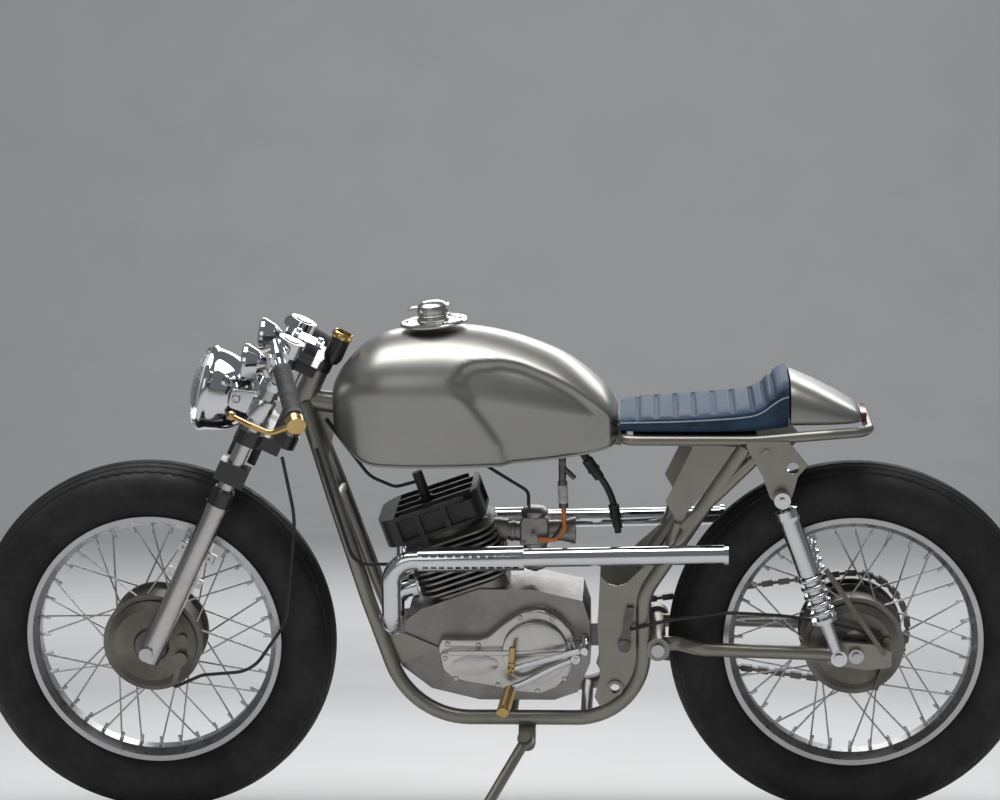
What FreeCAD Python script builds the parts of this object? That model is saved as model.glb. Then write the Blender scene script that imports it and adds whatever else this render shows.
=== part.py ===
"""Cafe racer motorcycle, parked on its side stand.

Everything is modelled upright first: X forward from the rear axle, Y to the rider's left,
Z up from the tyres' contact. One placement then leans the whole machine onto its stand and
moves the origin to the centre of its box, on the ground. Millimetres.
"""
import FreeCAD, Part
import math
import os

V = FreeCAD.Vector
AXIS_X, AXIS_Y, AXIS_Z = V(1, 0, 0), V(0, 1, 0), V(0, 0, 1)

# ---------------------------------------------------------------- driving dimensions
WHEELBASE = 1322.0
LEAN_DEG = 13.5

TYRE_RADIUS = 346.0
TYRE_WIDTH = 112.0
RIM_FLANGE_RADIUS = 243.0
RIM_BED_RADIUS = 236.0
RIM_INNER_RADIUS = 222.0
RIM_WIDTH = 60.0
RIM_WELL_WIDTH = 28.0
SEAT_GAP = 0.3                  # between seated pieces
AXLE_RADIUS = 8.0
BORE_CLEARANCE = 0.05           # radial, hub on its axle

HUB_RADIUS = 86.0
HUB_FLANGE_RADIUS = 94.0
HUB_HALF_WIDTH = 46.0
HUB_FLANGE_WIDTH = 7.0
SPOKE_COUNT = 36
SPOKE_RADIUS = 1.7
SPOKE_SWEEP_DEG = 24.0          # how far round the rim a spoke runs from its hub hole
PLATE_GAP = 2.0                 # brake plate to drum, running
PLATE_THICKNESS = 12.0
PLATE_RADIUS = 84.0

RAKE_DEG = 25.4
FORK_OFFSET = 59.0              # steering axis to the legs' plane
AXLE_LEAD = 6.0                 # axle ahead of the legs' plane
LEG_HALF_SPACING = 92.0
LEG_RADIUS = 21.5
LEG_TIP = -16.0                 # distances along the leg from the axle's level
LEG_TOP = 318.0
BOOT_TOP = 352.0
STANCHION_RADIUS = 16.0
STANCHION_TOP = 664.0
BRACE_LOW = 366.0
BRACE_HEIGHT = 38.0
LOWER_YOKE_LOW = 448.0
LOWER_YOKE_HEIGHT = 26.0
UPPER_YOKE_LOW = 612.0
UPPER_YOKE_HEIGHT = 20.0
HEAD_TUBE_RADIUS = 25.0
HEAD_GAP = 0.5                  # head tube to each yoke
STEM_RADIUS = 12.0

TUBE_RADIUS = 14.0              # cradle and down tubes
BACKBONE_RADIUS = 20.0
RAIL_RADIUS = 9.5
RAIL_HALF_SPACING = 102.0
RAIL_HEIGHT = 755.0
AXLE_REACH = 30.0               # front spindle beyond the fork leg's middle
CRADLE_HALF_SPACING = 100.0
CRADLE_FLOOR = 220.5
SIDE_BUSH = (446.0, 281.0)
BUSH_RADIUS = 9.0
PLATE_HOLE = (121.0, 706.0)
PLATE_HOLE_RADIUS = 11.0
PIVOT_X, PIVOT_Z = 366.0, 358.0
PIVOT_BORE = 9.0
ARM_RADIUS = 13.0
ARM_HALF_SPACING = 95.0
SHOCK_HALF_SPACING = 132.0
SHOCK_TOP = (141.0, 652.0)
SHOCK_FOOT = (34.0, 352.0)
SHOCK_EYE_RADIUS = 15.0
SHOCK_EYE_WIDTH = 24.0
SHOCK_BOLT_RADIUS = 6.0
SPRING_COILS = 5
SPRING_PITCH = 17.0
SPRING_RADIUS = 19.5
SPRING_WIRE = 4.4
SPRING_CORE = 15.5

SPROCKET_RADIUS = 98.0
SPROCKET_Y = -67.5
SPROCKET_THICKNESS = 6.0
CHAIN_GAP = 5.5
CHAIN_HEIGHT = 12.0
CHAIN_WIDTH = 12.0
CHAIN_WAIST = 3.0               # how far the links' sides draw in between the rollers
CHAIN_PITCH = 15.875
LINK_LENGTH = 21.0
DRIVE_SPROCKET = (432.0, 346.0, 42.0)    # x, z, chain's inner radius
GEARBOX_TAIL = (411.0, 498.0, 324.0, 368.0)    # x from, x to, z from, z to, round the sprocket's shaft
GEARBOX_TAIL_SIDE = -56.0       # y of its right face
GEARBOX_TAIL_WIDTH = 40.0

CASE_HALF_WIDTH = 74.0
COVER_DEPTH = 44.0
CYLINDER_LEAN_DEG = 19.0
CYLINDER_BASE = (716.0, 443.0)
DECK_HEIGHT = 18.0              # the crankcase's deck above the barrel's base point
CYLINDER_CORE_RADIUS = 48.0
CYLINDER_FIN_LENGTH = 174.0
CYLINDER_FIN_WIDTH = 164.0
CYLINDER_FIN_LOW = 26.0
CYLINDER_FIN_PITCH = 11.5
CYLINDER_FIN_COUNT = 9
FIN_THICKNESS = 4.0
HEAD_LOW = 141.0
HEAD_HEIGHT = 54.0
HEAD_AHEAD = 16.0               # head's middle ahead of the barrel's
HEAD_LENGTH = 196.0
HEAD_WIDTH = 176.0
HEAD_CORNER = 44.0
HEAD_PANELS = ((-72.0, -18.0, 10.0), (-8.0, 34.0, 10.0), (44.0, 78.0, 12.0))    # from, to, depth
PLUG_X = 22.0

PIPE_RADIUS = 17.5
PORT = (816.4, 58.0, 465.4)
PIPE_Y = 135.0
PIPE_TAIL = (238.0, 549.0)
PIPE_TOP_FRONT = (858.0, 536.0)
SHIELD_RADIUS = 23.0
SHIELD_SPAN = (612.0, 806.0)
OUTLET_BORE_RADIUS = 15.0
OUTLET_BORE_DEPTH = 90.0
OUTLET_LIP = 3.0

TANK_TUNNEL_HALF_WIDTH = 32.0
TANK_WALL = 3.0
KNEE_DEPTH = 18.0
CAP_CENTRE = (780.0, 954.5)
CAP_TILT_DEG = 5.0
CAP_RING_RADIUS = 63.0
CAP_RING_HEIGHT = 6.0
CAP_BODY_RADIUS = 29.0
CAP_BODY_HEIGHT = 38.0

SEAT_HALF_WIDTH = 104.0
COWL_BASE = 775.9
TAIL_LIGHT_SEAT = 19.95         # tail light's underside above the rail line, on the tail hoop

LAMP_CENTRE = (1211.0, 833.0)
LAMP_RADIUS = 80.0
LAMP_PITCH_DEG = 13.0
LAMP_DEPTH = 104.0
LENS_BULGE = 24.0

BAR_RADIUS = 11.0
GRIP_RADIUS = 17.0
BAR_ROOT = (1062.0, 104.0, 937.0)
BAR_TIP = (1006.0, 300.0, 845.0)

STAND_PIVOT = (612.0, 128.0, 186.0)
STAND_FOOT_X, STAND_FOOT_Y = 702.0, 245.0
STAND_LEG_RADIUS = 10.0
STAND_PIN_RADIUS = 6.0
STAND_PIN_CLEARANCE = 0.05
STAND_FOOT_RADIUS = 24.0
STAND_FOOT_THICKNESS = 6.0
STAND_AXIS = (0.11, 0.76, 0.64)


CORD_RADII = []                 # printed after the build


# ---------------------------------------------------------------- helpers
def ball(centre, radius):
    return Part.makeSphere(radius, V(*centre))


def rod(start, end, radius):
    """A round bar between two points."""
    start, end = V(*start), V(*end)
    return Part.makeCylinder(radius, start.distanceToPoint(end), start, end - start)


def cross_bar(x, z, radius, y_from, y_to):
    """A round bar along Y."""
    return rod((x, y_from, z), (x, y_to, z), radius)


def plate(outline, y_from, y_to):
    """A flat plate: an (x, z) outline pushed along Y."""
    points = [V(x, y_from, z) for x, z in outline]
    face = Part.Face(Part.makePolygon(points + points[:1]))
    return face.extrude(V(0, y_to - y_from, 0))


def box(x, y, z):
    """A box from three (low, high) pairs."""
    return Part.makeBox(x[1] - x[0], y[1] - y[0], z[1] - z[0], V(x[0], y[0], z[0]))


def fuse(shapes):
    joined = shapes[0].fuse(shapes[1:]) if len(shapes) > 1 else shapes[0]
    return joined.removeSplitter()


def cut(shape, tools):
    return shape.cut(tools if isinstance(tools, list) else [tools])


def mirrored(shape):
    """The other side's copy, across the middle plane."""
    return shape.mirror(V(0, 0, 0), AXIS_Y)


def pair(shape):
    """Left and right copies that don't touch, as one node."""
    return Part.makeCompound([shape, mirrored(shape)])


def both(shape):
    return [shape, mirrored(shape)]


def bent_path(points, bends):
    """Straight runs joined by tangent arcs; bends holds one radius for each inner point."""
    corners = [V(*point) for point in points]
    edges, here = [], corners[0]
    for index, radius in enumerate(bends, start=1):
        back = (corners[index - 1] - corners[index]).normalize()
        ahead = (corners[index + 1] - corners[index]).normalize()
        turn = math.pi - back.getAngle(ahead)
        reach = radius * math.tan(turn / 2)
        start = corners[index] + back * reach
        end = corners[index] + ahead * reach
        inward = (back + ahead).normalize()
        middle = corners[index] + inward * (radius / math.cos(turn / 2) - radius)
        if here.distanceToPoint(start) > 0.01:
            edges.append(Part.LineSegment(here, start).toShape())
        edges.append(Part.Arc(start, middle, end).toShape())
        here = end
    edges.append(Part.LineSegment(here, corners[-1]).toShape())
    return Part.Wire(edges)


def bent_tube(points, bends, radius):
    """A round tube, shown solid, along straight runs and arcs."""
    path = bent_path(points, bends)
    first = V(*points[0])
    heading = V(*points[1]) - first
    circle = Part.Wire([Part.Circle(first, heading, radius).toShape()])
    return path.makePipeShell([circle], True, False)


def turned(outline, centre, axis):
    """Revolves an outline of (along the axis, radius) points about an axis through centre."""
    centre, axis = V(*centre), V(*axis).normalize()
    side = axis.cross(AXIS_Y) if abs(axis.dot(AXIS_Y)) < 0.9 else axis.cross(AXIS_X)
    side.normalize()
    points = [centre + axis * along + side * radius for along, radius in outline]
    face = Part.Face(Part.makePolygon(points + points[:1]))
    return face.revolve(centre, axis, 360)


def rounded_block(length, width, height, corner, centre, bottom):
    """An upright block with rounded vertical corners."""
    block = Part.makeBox(length, width, height, V(centre[0] - length / 2, centre[1] - width / 2, bottom))
    upright = [edge for edge in block.Edges if abs(edge.tangentAt(edge.FirstParameter).z) > 0.9]
    return block.makeFillet(corner, upright)


# ---------------------------------------------------------------- places worked out from the sizes
AXLE_HEIGHT = TYRE_RADIUS
REAR_AXLE = V(0, 0, AXLE_HEIGHT)
FRONT_AXLE = V(WHEELBASE, 0, AXLE_HEIGHT)
RAKE = math.radians(RAKE_DEG)
LEG_UP = V(-math.sin(RAKE), 0, math.cos(RAKE))
LEG_AHEAD = V(math.cos(RAKE), 0, math.sin(RAKE))
STEERING_UP = LEG_UP


def fork_point(along, ahead=0.0, y=0.0):
    """A point by its distance up the legs from the axle's level and ahead of the legs' plane."""
    return FRONT_AXLE + LEG_UP * along + LEG_AHEAD * (ahead - AXLE_LEAD) + AXIS_Y * y


def steering_point(along):
    return fork_point(along, -FORK_OFFSET)


def fork_block(along, ahead, y):
    """A box square to the fork, from three (low, high) pairs."""
    block = box(ahead, y, along)
    block.rotate(V(0, 0, 0), AXIS_Y, -RAKE_DEG)
    block.translate(fork_point(0))
    return block


def ground_height(y):
    """Height in the upright frame of the ground that the leaned tyres stand on."""
    lean = math.radians(LEAN_DEG)
    crown = TYRE_WIDTH / 2
    return (y * math.sin(lean) - crown * (1 - math.cos(lean))) / math.cos(lean)


# ---------------------------------------------------------------- wheels
def tyre(axle):
    """A casing whose section is straight-sided, with a corner exactly where the leaned tyre stands."""
    half = TYRE_WIDTH / 2
    bead = RIM_WIDTH / 2 - 3 - SEAT_GAP
    foot = RIM_BED_RADIUS + SEAT_GAP
    lip = RIM_FLANGE_RADIUS + SEAT_GAP
    side = [(bead, foot), (bead, lip + 1.5), (half - 7, lip + 20)]
    for degrees in (90, 62, 37, LEAN_DEG):
        angle = math.radians(degrees)
        side.append((half * math.sin(angle), TYRE_RADIUS - half + half * math.cos(angle)))
    outline = side + [(0, TYRE_RADIUS)] + [(-along, radius) for along, radius in reversed(side)]
    return turned(outline, axle, AXIS_Y)


def rim(axle):
    half, well = RIM_WIDTH / 2, RIM_WELL_WIDTH / 2
    lip = half - 3
    outline = [(-half, RIM_FLANGE_RADIUS), (-lip, RIM_FLANGE_RADIUS), (-lip, RIM_BED_RADIUS),
               (lip, RIM_BED_RADIUS), (lip, RIM_FLANGE_RADIUS), (half, RIM_FLANGE_RADIUS),
               (half, RIM_BED_RADIUS - 3), (well, RIM_INNER_RADIUS), (-well, RIM_INNER_RADIUS),
               (-half, RIM_BED_RADIUS - 3)]
    return turned(outline, axle, AXIS_Y)


def hub(axle):
    half = HUB_HALF_WIDTH
    step = half - HUB_FLANGE_WIDTH
    bore = AXLE_RADIUS + BORE_CLEARANCE
    outline = [(-half, bore), (-half, HUB_FLANGE_RADIUS), (-step, HUB_FLANGE_RADIUS),
               (-step, HUB_RADIUS), (step, HUB_RADIUS), (step, HUB_FLANGE_RADIUS),
               (half, HUB_FLANGE_RADIUS), (half, bore)]
    return turned(outline, axle, AXIS_Y)


def spokes(axle):
    """Crossed spokes, half on each hub flange, leaning both ways round."""
    solids = []
    hub_radius = HUB_FLANGE_RADIUS + SEAT_GAP + 1.1
    rim_radius = RIM_INNER_RADIUS - SEAT_GAP - 0.5
    for index in range(SPOKE_COUNT):
        side = 1 if index % 2 else -1
        sweep = SPOKE_SWEEP_DEG if index % 4 < 2 else -SPOKE_SWEEP_DEG
        inset = 2.0 if index % 4 < 2 else HUB_FLANGE_WIDTH
        rim_angle = math.radians(360.0 * index / SPOKE_COUNT)
        hub_angle = rim_angle + math.radians(sweep)
        y_hub = side * (HUB_HALF_WIDTH - inset)
        y_rim = side * (4.0 if index % 4 < 2 else 0.0)
        start = axle + V(hub_radius * math.cos(hub_angle), y_hub, hub_radius * math.sin(hub_angle))
        end = axle + V(rim_radius * math.cos(rim_angle), y_rim, rim_radius * math.sin(rim_angle))
        solids.append(rod(start, end, SPOKE_RADIUS))
    return Part.makeCompound(solids)


def brake_plate(axle):
    """The fixed plate that closes the drum on the left, with its cam boss and arm."""
    inner = HUB_HALF_WIDTH + PLATE_GAP
    outer = inner + PLATE_THICKNESS
    bore = AXLE_RADIUS + BORE_CLEARANCE
    body = turned([(inner, bore), (inner, PLATE_RADIUS), (inner + 5, PLATE_RADIUS),
                   (outer, PLATE_RADIUS - 14),
                   (outer, 34), (outer + 7, 30), (outer + 7, bore)], axle, AXIS_Y)
    cam = cross_bar(axle.x - 56, axle.z - 24, 13, outer - 2, outer + 14)
    pivot = cross_bar(axle.x - 60, axle.z + 14, 9, outer - 4, outer + 8)
    arm = plate([(axle.x - 60, axle.z - 32), (axle.x - 50, axle.z - 32), (axle.x - 34, axle.z - 78),
                 (axle.x - 44, axle.z - 80)], outer + 6, outer + 12)
    return fuse([body, cam, pivot, arm])


def rear_sprocket():
    bore = AXLE_RADIUS + BORE_CLEARANCE
    inner = -HUB_HALF_WIDTH - SEAT_GAP
    far = SPROCKET_Y - SPROCKET_THICKNESS / 2
    near = SPROCKET_Y + SPROCKET_THICKNESS / 2
    return turned([(inner, bore), (inner, 52), (near, 48), (near, SPROCKET_RADIUS), (far, SPROCKET_RADIUS),
                   (far, 20), (far - 4, 20), (far - 4, bore)], REAR_AXLE, AXIS_Y)


# ---------------------------------------------------------------- fork and steering
def fork_legs():
    """Lower legs with their mudguard lugs, and the stanchions above them."""
    tip = fork_point(LEG_TIP, 0, LEG_HALF_SPACING)
    top = fork_point(LEG_TOP, 0, LEG_HALF_SPACING)
    lower = rod(tip, top, LEG_RADIUS)
    collar = rod(fork_point(LEG_TOP - 16, 0, LEG_HALF_SPACING), top, LEG_RADIUS + 1.5)
    upper = rod(top, fork_point(STANCHION_TOP, 0, LEG_HALF_SPACING), STANCHION_RADIUS)
    lugs = []
    for along in (212.0, 158.0):
        for side in (-1, 1):
            reach = sorted((side * (LEG_RADIUS - 4), side * (LEG_RADIUS + 13)))
            lug = fork_block((along - 9, along + 9), reach, (LEG_HALF_SPACING - 12, LEG_HALF_SPACING - 7))
            hole = fork_point(along, side * (LEG_RADIUS + 5), 0)
            lugs.append(cut(lug, cross_bar(hole.x, hole.z, 3.3, 0, 2 * LEG_HALF_SPACING)))
    leg = fuse([lower, collar, upper] + lugs)
    return pair(cut(leg, cross_bar(FRONT_AXLE.x, FRONT_AXLE.z, AXLE_RADIUS, 0, 2 * LEG_HALF_SPACING)))


def fork_boot():
    clear = STANCHION_RADIUS + SEAT_GAP
    low = LEG_TOP + SEAT_GAP
    boot = turned([(low, clear), (low, LEG_RADIUS + 1), (BOOT_TOP - 6, STANCHION_RADIUS + 5),
                   (BOOT_TOP, STANCHION_RADIUS + 3), (BOOT_TOP, clear)],
                  fork_point(0, 0, LEG_HALF_SPACING), LEG_UP)
    return boot


def fork_brace():
    """The black brace that ties the stanchions over the tyre."""
    reach = (-STANCHION_RADIUS - 13, STANCHION_RADIUS + 13)
    high = BRACE_LOW + BRACE_HEIGHT
    ends = [fork_block((BRACE_LOW, high), reach, (y - 20, y + 20)) for y in (-LEG_HALF_SPACING,
        LEG_HALF_SPACING)]
    bridge = fork_block((BRACE_LOW + 14, high - 12), (-8, 8), (-LEG_HALF_SPACING, LEG_HALF_SPACING))
    holes = [rod(fork_point(BRACE_LOW - 5, 0, y), fork_point(high + 5, 0, y), STANCHION_RADIUS + SEAT_GAP)
             for y in (-LEG_HALF_SPACING, LEG_HALF_SPACING)]
    return cut(fuse(ends + [bridge]), holes)


def fork_yokes():
    """Upper and lower yokes on the steering stem."""
    pieces = [rod(steering_point(LOWER_YOKE_LOW), steering_point(UPPER_YOKE_LOW + UPPER_YOKE_HEIGHT),
                  STEM_RADIUS)]
    holes = []
    for low, height in ((LOWER_YOKE_LOW, LOWER_YOKE_HEIGHT), (UPPER_YOKE_LOW, UPPER_YOKE_HEIGHT)):
        high = low + height
        for y in (-LEG_HALF_SPACING, LEG_HALF_SPACING):
            pieces.append(rod(fork_point(low, 0, y), fork_point(high, 0, y), STANCHION_RADIUS + 9))
            holes.append(rod(fork_point(low - 5, 0, y), fork_point(high + 5, 0, y),
                             STANCHION_RADIUS + SEAT_GAP))
        pieces.append(rod(steering_point(low), steering_point(high), STEM_RADIUS + 15))
        pieces.append(fork_block((low, high), (-FORK_OFFSET - 4, 8), (-LEG_HALF_SPACING, LEG_HALF_SPACING)))
    return cut(fuse(pieces), holes)


def front_axle():
    end = LEG_HALF_SPACING + AXLE_REACH
    spindle = cross_bar(FRONT_AXLE.x, FRONT_AXLE.z, AXLE_RADIUS, -end, end)
    nuts = [cross_bar(FRONT_AXLE.x, FRONT_AXLE.z, 13, side * (LEG_HALF_SPACING + LEG_RADIUS + 0.5),
                      side * (LEG_HALF_SPACING + LEG_RADIUS + 9)) for side in (-1, 1)]
    spacer_from = HUB_HALF_WIDTH + PLATE_GAP
    spacer = cross_bar(FRONT_AXLE.x, FRONT_AXLE.z, 13, -spacer_from, -(LEG_HALF_SPACING - LEG_RADIUS - 0.5))
    return fuse([spindle, spacer] + nuts)


def lamp_axis():
    pitch = math.radians(LAMP_PITCH_DEG)
    return V(math.cos(pitch), 0, math.sin(pitch))


def headlight():
    """A hollow bucket with a rolled rim, and the two ears that hang it from the stanchions."""
    centre = (LAMP_CENTRE[0], 0, LAMP_CENTRE[1])
    r, d = LAMP_RADIUS, LAMP_DEPTH
    outline = [(0, r - 5), (0, r), (-8, r + 1), (-14, r - 2), (-40, r - 5), (-68, r - 18), (-90, r - 42),
               (-d, 10), (-d, 0), (-d + 5, 0), (-86, r - 48), (-66, r - 23), (-40, r - 9), (-14, r - 6)]
    shell = turned(outline, centre, lamp_axis())
    y = LEG_HALF_SPACING
    low, high = 500.0, 540.0
    ring = rod(fork_point(low, 0, y), fork_point(high, 0, y), STANCHION_RADIUS + 6)
    ear = plate([(1100, 790), (1082, 838), (1150, 846), (1158, 812)], y - 22, y - 17)
    bolt = cross_bar(1142, 828, 8, LAMP_RADIUS - 24, y - 12)
    hole = rod(fork_point(low - 30, 0, y), fork_point(high + 40, 0, y), STANCHION_RADIUS + SEAT_GAP)
    return cut(fuse([shell] + both(ring) + both(ear) + both(bolt)), [hole, mirrored(hole)])


def headlight_lens():
    """Domed glass set in the bucket's mouth."""
    centre = V(LAMP_CENTRE[0], 0, LAMP_CENTRE[1])
    r, edge = LAMP_RADIUS - 5 - SEAT_GAP, 8.0
    rise = LENS_BULGE - edge
    dome = (r * r + rise * rise) / (2 * rise)
    disc = Part.makeCylinder(r, LENS_BULGE + 6, centre - lamp_axis() * 2, lamp_axis())
    return disc.common(ball(centre + lamp_axis() * (LENS_BULGE - dome), dome))


def bar_line(share, drop=0.0):
    """A point on the left bar, as a share of its length from the clamp."""
    return tuple(a + (b - a) * share - (drop if axis == 2 else 0)
                 for axis, (a, b) in enumerate(zip(BAR_ROOT, BAR_TIP)))


def clip_ons():
    """A split clamp on each stanchion, above the upper yoke, with its bar."""
    low = UPPER_YOKE_LOW + UPPER_YOKE_HEIGHT + SEAT_GAP
    clamp = rod(fork_point(low, 0, LEG_HALF_SPACING), fork_point(low + 30, 0, LEG_HALF_SPACING),
                STANCHION_RADIUS + 9)
    bar = rod(bar_line(0.0), bar_line(1.03), BAR_RADIUS)
    perch = rod(bar_line(0.14), bar_line(0.22), BAR_RADIUS + 6)
    hole = rod(fork_point(low - 20, 0, LEG_HALF_SPACING), fork_point(low + 60, 0, LEG_HALF_SPACING),
               STANCHION_RADIUS + SEAT_GAP)
    return pair(cut(fuse([clamp, bar, perch]), hole))


def grips():
    grip = rod(bar_line(0.36), bar_line(1.0), GRIP_RADIUS)
    bore = rod(bar_line(0.3), bar_line(1.1), BAR_RADIUS + SEAT_GAP)
    return pair(cut(grip, bore))


def hand_levers():
    """Reversed levers, hinged at the bars' ends and pointing forward and inward."""
    boss = rod(bar_line(1.0315), bar_line(1.11), GRIP_RADIUS)
    points = [bar_line(1.075), (1048, 306, 818), (1084, 294, 830), (1122, 270, 842)]
    blade = bent_tube(points, (30, 30), 5)
    return pair(fuse([boss, blade, ball(points[-1], 9)]))


def gauge():
    """A small round gauge on the upper yoke, with its bezel as a second solid."""
    low = UPPER_YOKE_LOW + UPPER_YOKE_HEIGHT + SEAT_GAP
    centre = fork_point(low, -FORK_OFFSET - 20, 0)
    body = turned([(0, 0), (0, 14), (10, 18), (50, 18), (50, 0)], centre, LEG_UP)
    bezel = turned([(50 + SEAT_GAP, 0), (50 + SEAT_GAP, 20), (58, 20), (62, 17), (62, 0)], centre, LEG_UP)
    return Part.makeCompound([body, bezel])


def bar_clamp():
    """The polished block with a screwed lid on the upper yoke."""
    low = UPPER_YOKE_LOW + UPPER_YOKE_HEIGHT + SEAT_GAP
    body = fork_block((low, low + 26), (-50, 4), (8, 56))
    lid = fork_block((low + 26, low + 31), (-54, 6), (5, 60))
    screws = [rod(fork_point(low + 30, ahead, y), fork_point(low + 36, ahead, y), 5)
              for ahead in (-46, -2) for y in (13, 52)]
    return fuse([body, lid] + screws)


def marker_lamps():
    """A round lamp on a short arm outside each upper yoke."""
    centre = V(1112, 118, 906)
    body = turned([(-34, 0), (-34, 10), (-20, 24), (0, 34), (6, 34), (10, 28), (12, 0)], centre,
                  (1, 0, 0.12))
    arm = rod((1086, 116, 902), fork_point(UPPER_YOKE_LOW - 44, 0, LEG_HALF_SPACING), 6)
    ring = rod(fork_point(UPPER_YOKE_LOW - 50, 0, LEG_HALF_SPACING),
               fork_point(UPPER_YOKE_LOW - 36, 0, LEG_HALF_SPACING), STANCHION_RADIUS + 6)
    hole = rod(fork_point(UPPER_YOKE_LOW - 90, 0, LEG_HALF_SPACING),
               fork_point(UPPER_YOKE_LOW + 20, 0, LEG_HALF_SPACING), STANCHION_RADIUS + SEAT_GAP)
    return pair(cut(fuse([body, arm, ring]), hole))


# ---------------------------------------------------------------- frame
def frame():
    """Head tube, backbone, duplex cradle, side plates, seat rails, shock plates and stand bracket."""
    y = CRADLE_HALF_SPACING
    head = rod(steering_point(LOWER_YOKE_LOW + LOWER_YOKE_HEIGHT + HEAD_GAP),
               steering_point(UPPER_YOKE_LOW - HEAD_GAP), HEAD_TUBE_RADIUS)
    middle = steering_point(545)
    backbone = rod((middle.x, 0, middle.z), (432, 0, 740), BACKBONE_RADIUS)
    loop = bent_tube([(1024, 18, 806), (968, 56, 634), (906, 76, 442), (826, y, CRADLE_FLOOR),
                      (393, y, CRADLE_FLOOR), (393, y, 462), (208, y, RAIL_HEIGHT - 13)],
                     (150, 200, 155, 125, 90), TUBE_RADIUS)
    side = plate([(473, 496), (458, 482), (441, 477), (424, 483), (405, 502), (362, 540), (345, 518),
                  (393, 440),
                  (393, 340), (404, 296), (433, 256), (470, 236), (484, 262), (474, 300), (478, 400)],
                  y - 3, y + 3)
    bush_x, bush_z = SIDE_BUSH
    boss = cross_bar(bush_x, bush_z, 15, y - 6, y + 10)
    bush_hole = cross_bar(bush_x, bush_z, BUSH_RADIUS, 0, 2 * y)
    front_plate = plate([(884, 372), (840, 378), (776, 350), (848, 318), (872, 330)],
                        CASE_HALF_WIDTH + SEAT_GAP, CASE_HALF_WIDTH + 6)
    gusset = plate([(1040, 800), (960, 790), (985, 690), (1000, 690)], -3, 3)
    pivot_lug = cross_bar(PIVOT_X, PIVOT_Z, 22, y - 10, y + 12)
    cross = [cross_bar(500, CRADLE_FLOOR, 11, -y, y), cross_bar(640, CRADLE_FLOOR, 11, -y, y),
             cross_bar(966, 628, 11, -57, 57)]
    parts = [head, backbone, gusset, stand_bracket()] + cross + subframe_pieces()
    pivot_hole = cross_bar(PIVOT_X, PIVOT_Z, PIVOT_BORE, 0, 2 * y)
    for piece in (loop, cut(side, bush_hole), cut(boss, bush_hole), front_plate,
                  cut(pivot_lug, pivot_hole)):
        parts += both(piece)
    stem = rod(steering_point(LOWER_YOKE_LOW), steering_point(UPPER_YOKE_LOW + 40),
               STEM_RADIUS + BORE_CLEARANCE)
    return cut(parts[0].fuse(parts[1:]), stem)


def subframe_pieces():
    """Seat rails and tail loop, their stays, and the plates that carry the shocks."""
    y = RAIL_HALF_SPACING
    rail = bent_tube([(432, 0, RAIL_HEIGHT), (432, y, RAIL_HEIGHT), (190, y, RAIL_HEIGHT),
                      (60, y, RAIL_HEIGHT + 11),
                      (-20, y * 0.75, RAIL_HEIGHT + 11), (-20, 0, RAIL_HEIGHT + 11)],
                     (24, 300, 60, 40), RAIL_RADIUS)
    stay = rod((322, y, 590), (168, y, RAIL_HEIGHT - 13), 11)
    mount = plate([(205, RAIL_HEIGHT + 1), (130, RAIL_HEIGHT + 1), (94, 712), (112, 690), (122, 652),
                   (142, 632), (162, 650), (176, 690),
                   (205, 744)], y + 6, y + 12)
    bolt = cross_bar(170, 733, 9, y, y + 17)
    holes = [cross_bar(PLATE_HOLE[0], PLATE_HOLE[1], PLATE_HOLE_RADIUS, 0, 2 * y),
             cross_bar(SHOCK_TOP[0], SHOCK_TOP[1], SHOCK_BOLT_RADIUS, 0, 2 * y)]
    gusset = plate([(330, 600), (208, 742), (300, 748), (352, 640)], y - 4, y)
    strut = rod((352, y, 526), (330, y, 600), 11)
    tie = cross_bar(300, 748, 8, -y, y)
    parts = [tie]
    for piece in (rail, stay, cut(mount, holes), bolt, gusset, strut):
        parts += both(piece)
    return parts


def stand_bracket():
    """A tongue under the left cradle tube that carries the stand's pin."""
    pivot = V(*STAND_PIVOT)
    axis = V(*STAND_AXIS).normalize()
    reach = V(STAND_PIVOT[0], CRADLE_HALF_SPACING, 220) - pivot
    reach = reach - axis * reach.dot(axis)
    side = axis.cross(reach).normalize() * 16
    foot = pivot - axis * 19
    corners = [foot - side, foot + side, foot + side + reach, foot - side + reach]
    tongue = Part.Face(Part.makePolygon(corners + corners[:1])).extrude(axis * 8)
    cheek = Part.makeCylinder(16, 8, foot, axis)
    pin = Part.makeCylinder(STAND_PIN_RADIUS, 36, foot, axis)
    cap = Part.makeCylinder(11, 5, pivot + axis * 12.5, axis)
    return fuse([tongue, cheek, pin, cap])


def swingarm():
    y = ARM_HALF_SPACING
    cross = cross_bar(PIVOT_X, PIVOT_Z, 15, -89.7, 89.7)
    arm = bent_tube([(PIVOT_X, 70, PIVOT_Z), (326, 70, PIVOT_Z - 1), (288, y, PIVOT_Z - 4), (24, y, 345)],
                    (40, 40), ARM_RADIUS)
    end = plate([(52, 372), (-30, 366), (-66, 352), (-66, 322), (-20, 316), (52, 328)], y - 6, y + 6)
    eye = cross_bar(SHOCK_FOOT[0], SHOCK_FOOT[1], 11, y + 4,
                    SHOCK_HALF_SPACING - SHOCK_EYE_WIDTH / 2 - SEAT_GAP)
    slot = cross_bar(REAR_AXLE.x, REAR_AXLE.z, AXLE_RADIUS, 0, 2 * y)
    solid = fuse([cross] + both(arm) + both(end) + both(eye))
    return cut(solid, [slot, mirrored(slot), cross_bar(PIVOT_X, PIVOT_Z, PIVOT_BORE, -2 * y, 2 * y)])


def pivot_bolt():
    y = CRADLE_HALF_SPACING + 12
    nuts = [cross_bar(PIVOT_X, PIVOT_Z, 12, side * (y + SEAT_GAP), side * (y + 9)) for side in (-1, 1)]
    return fuse([cross_bar(PIVOT_X, PIVOT_Z, PIVOT_BORE - SEAT_GAP, -y - 5, y + 5)] + nuts)


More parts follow.
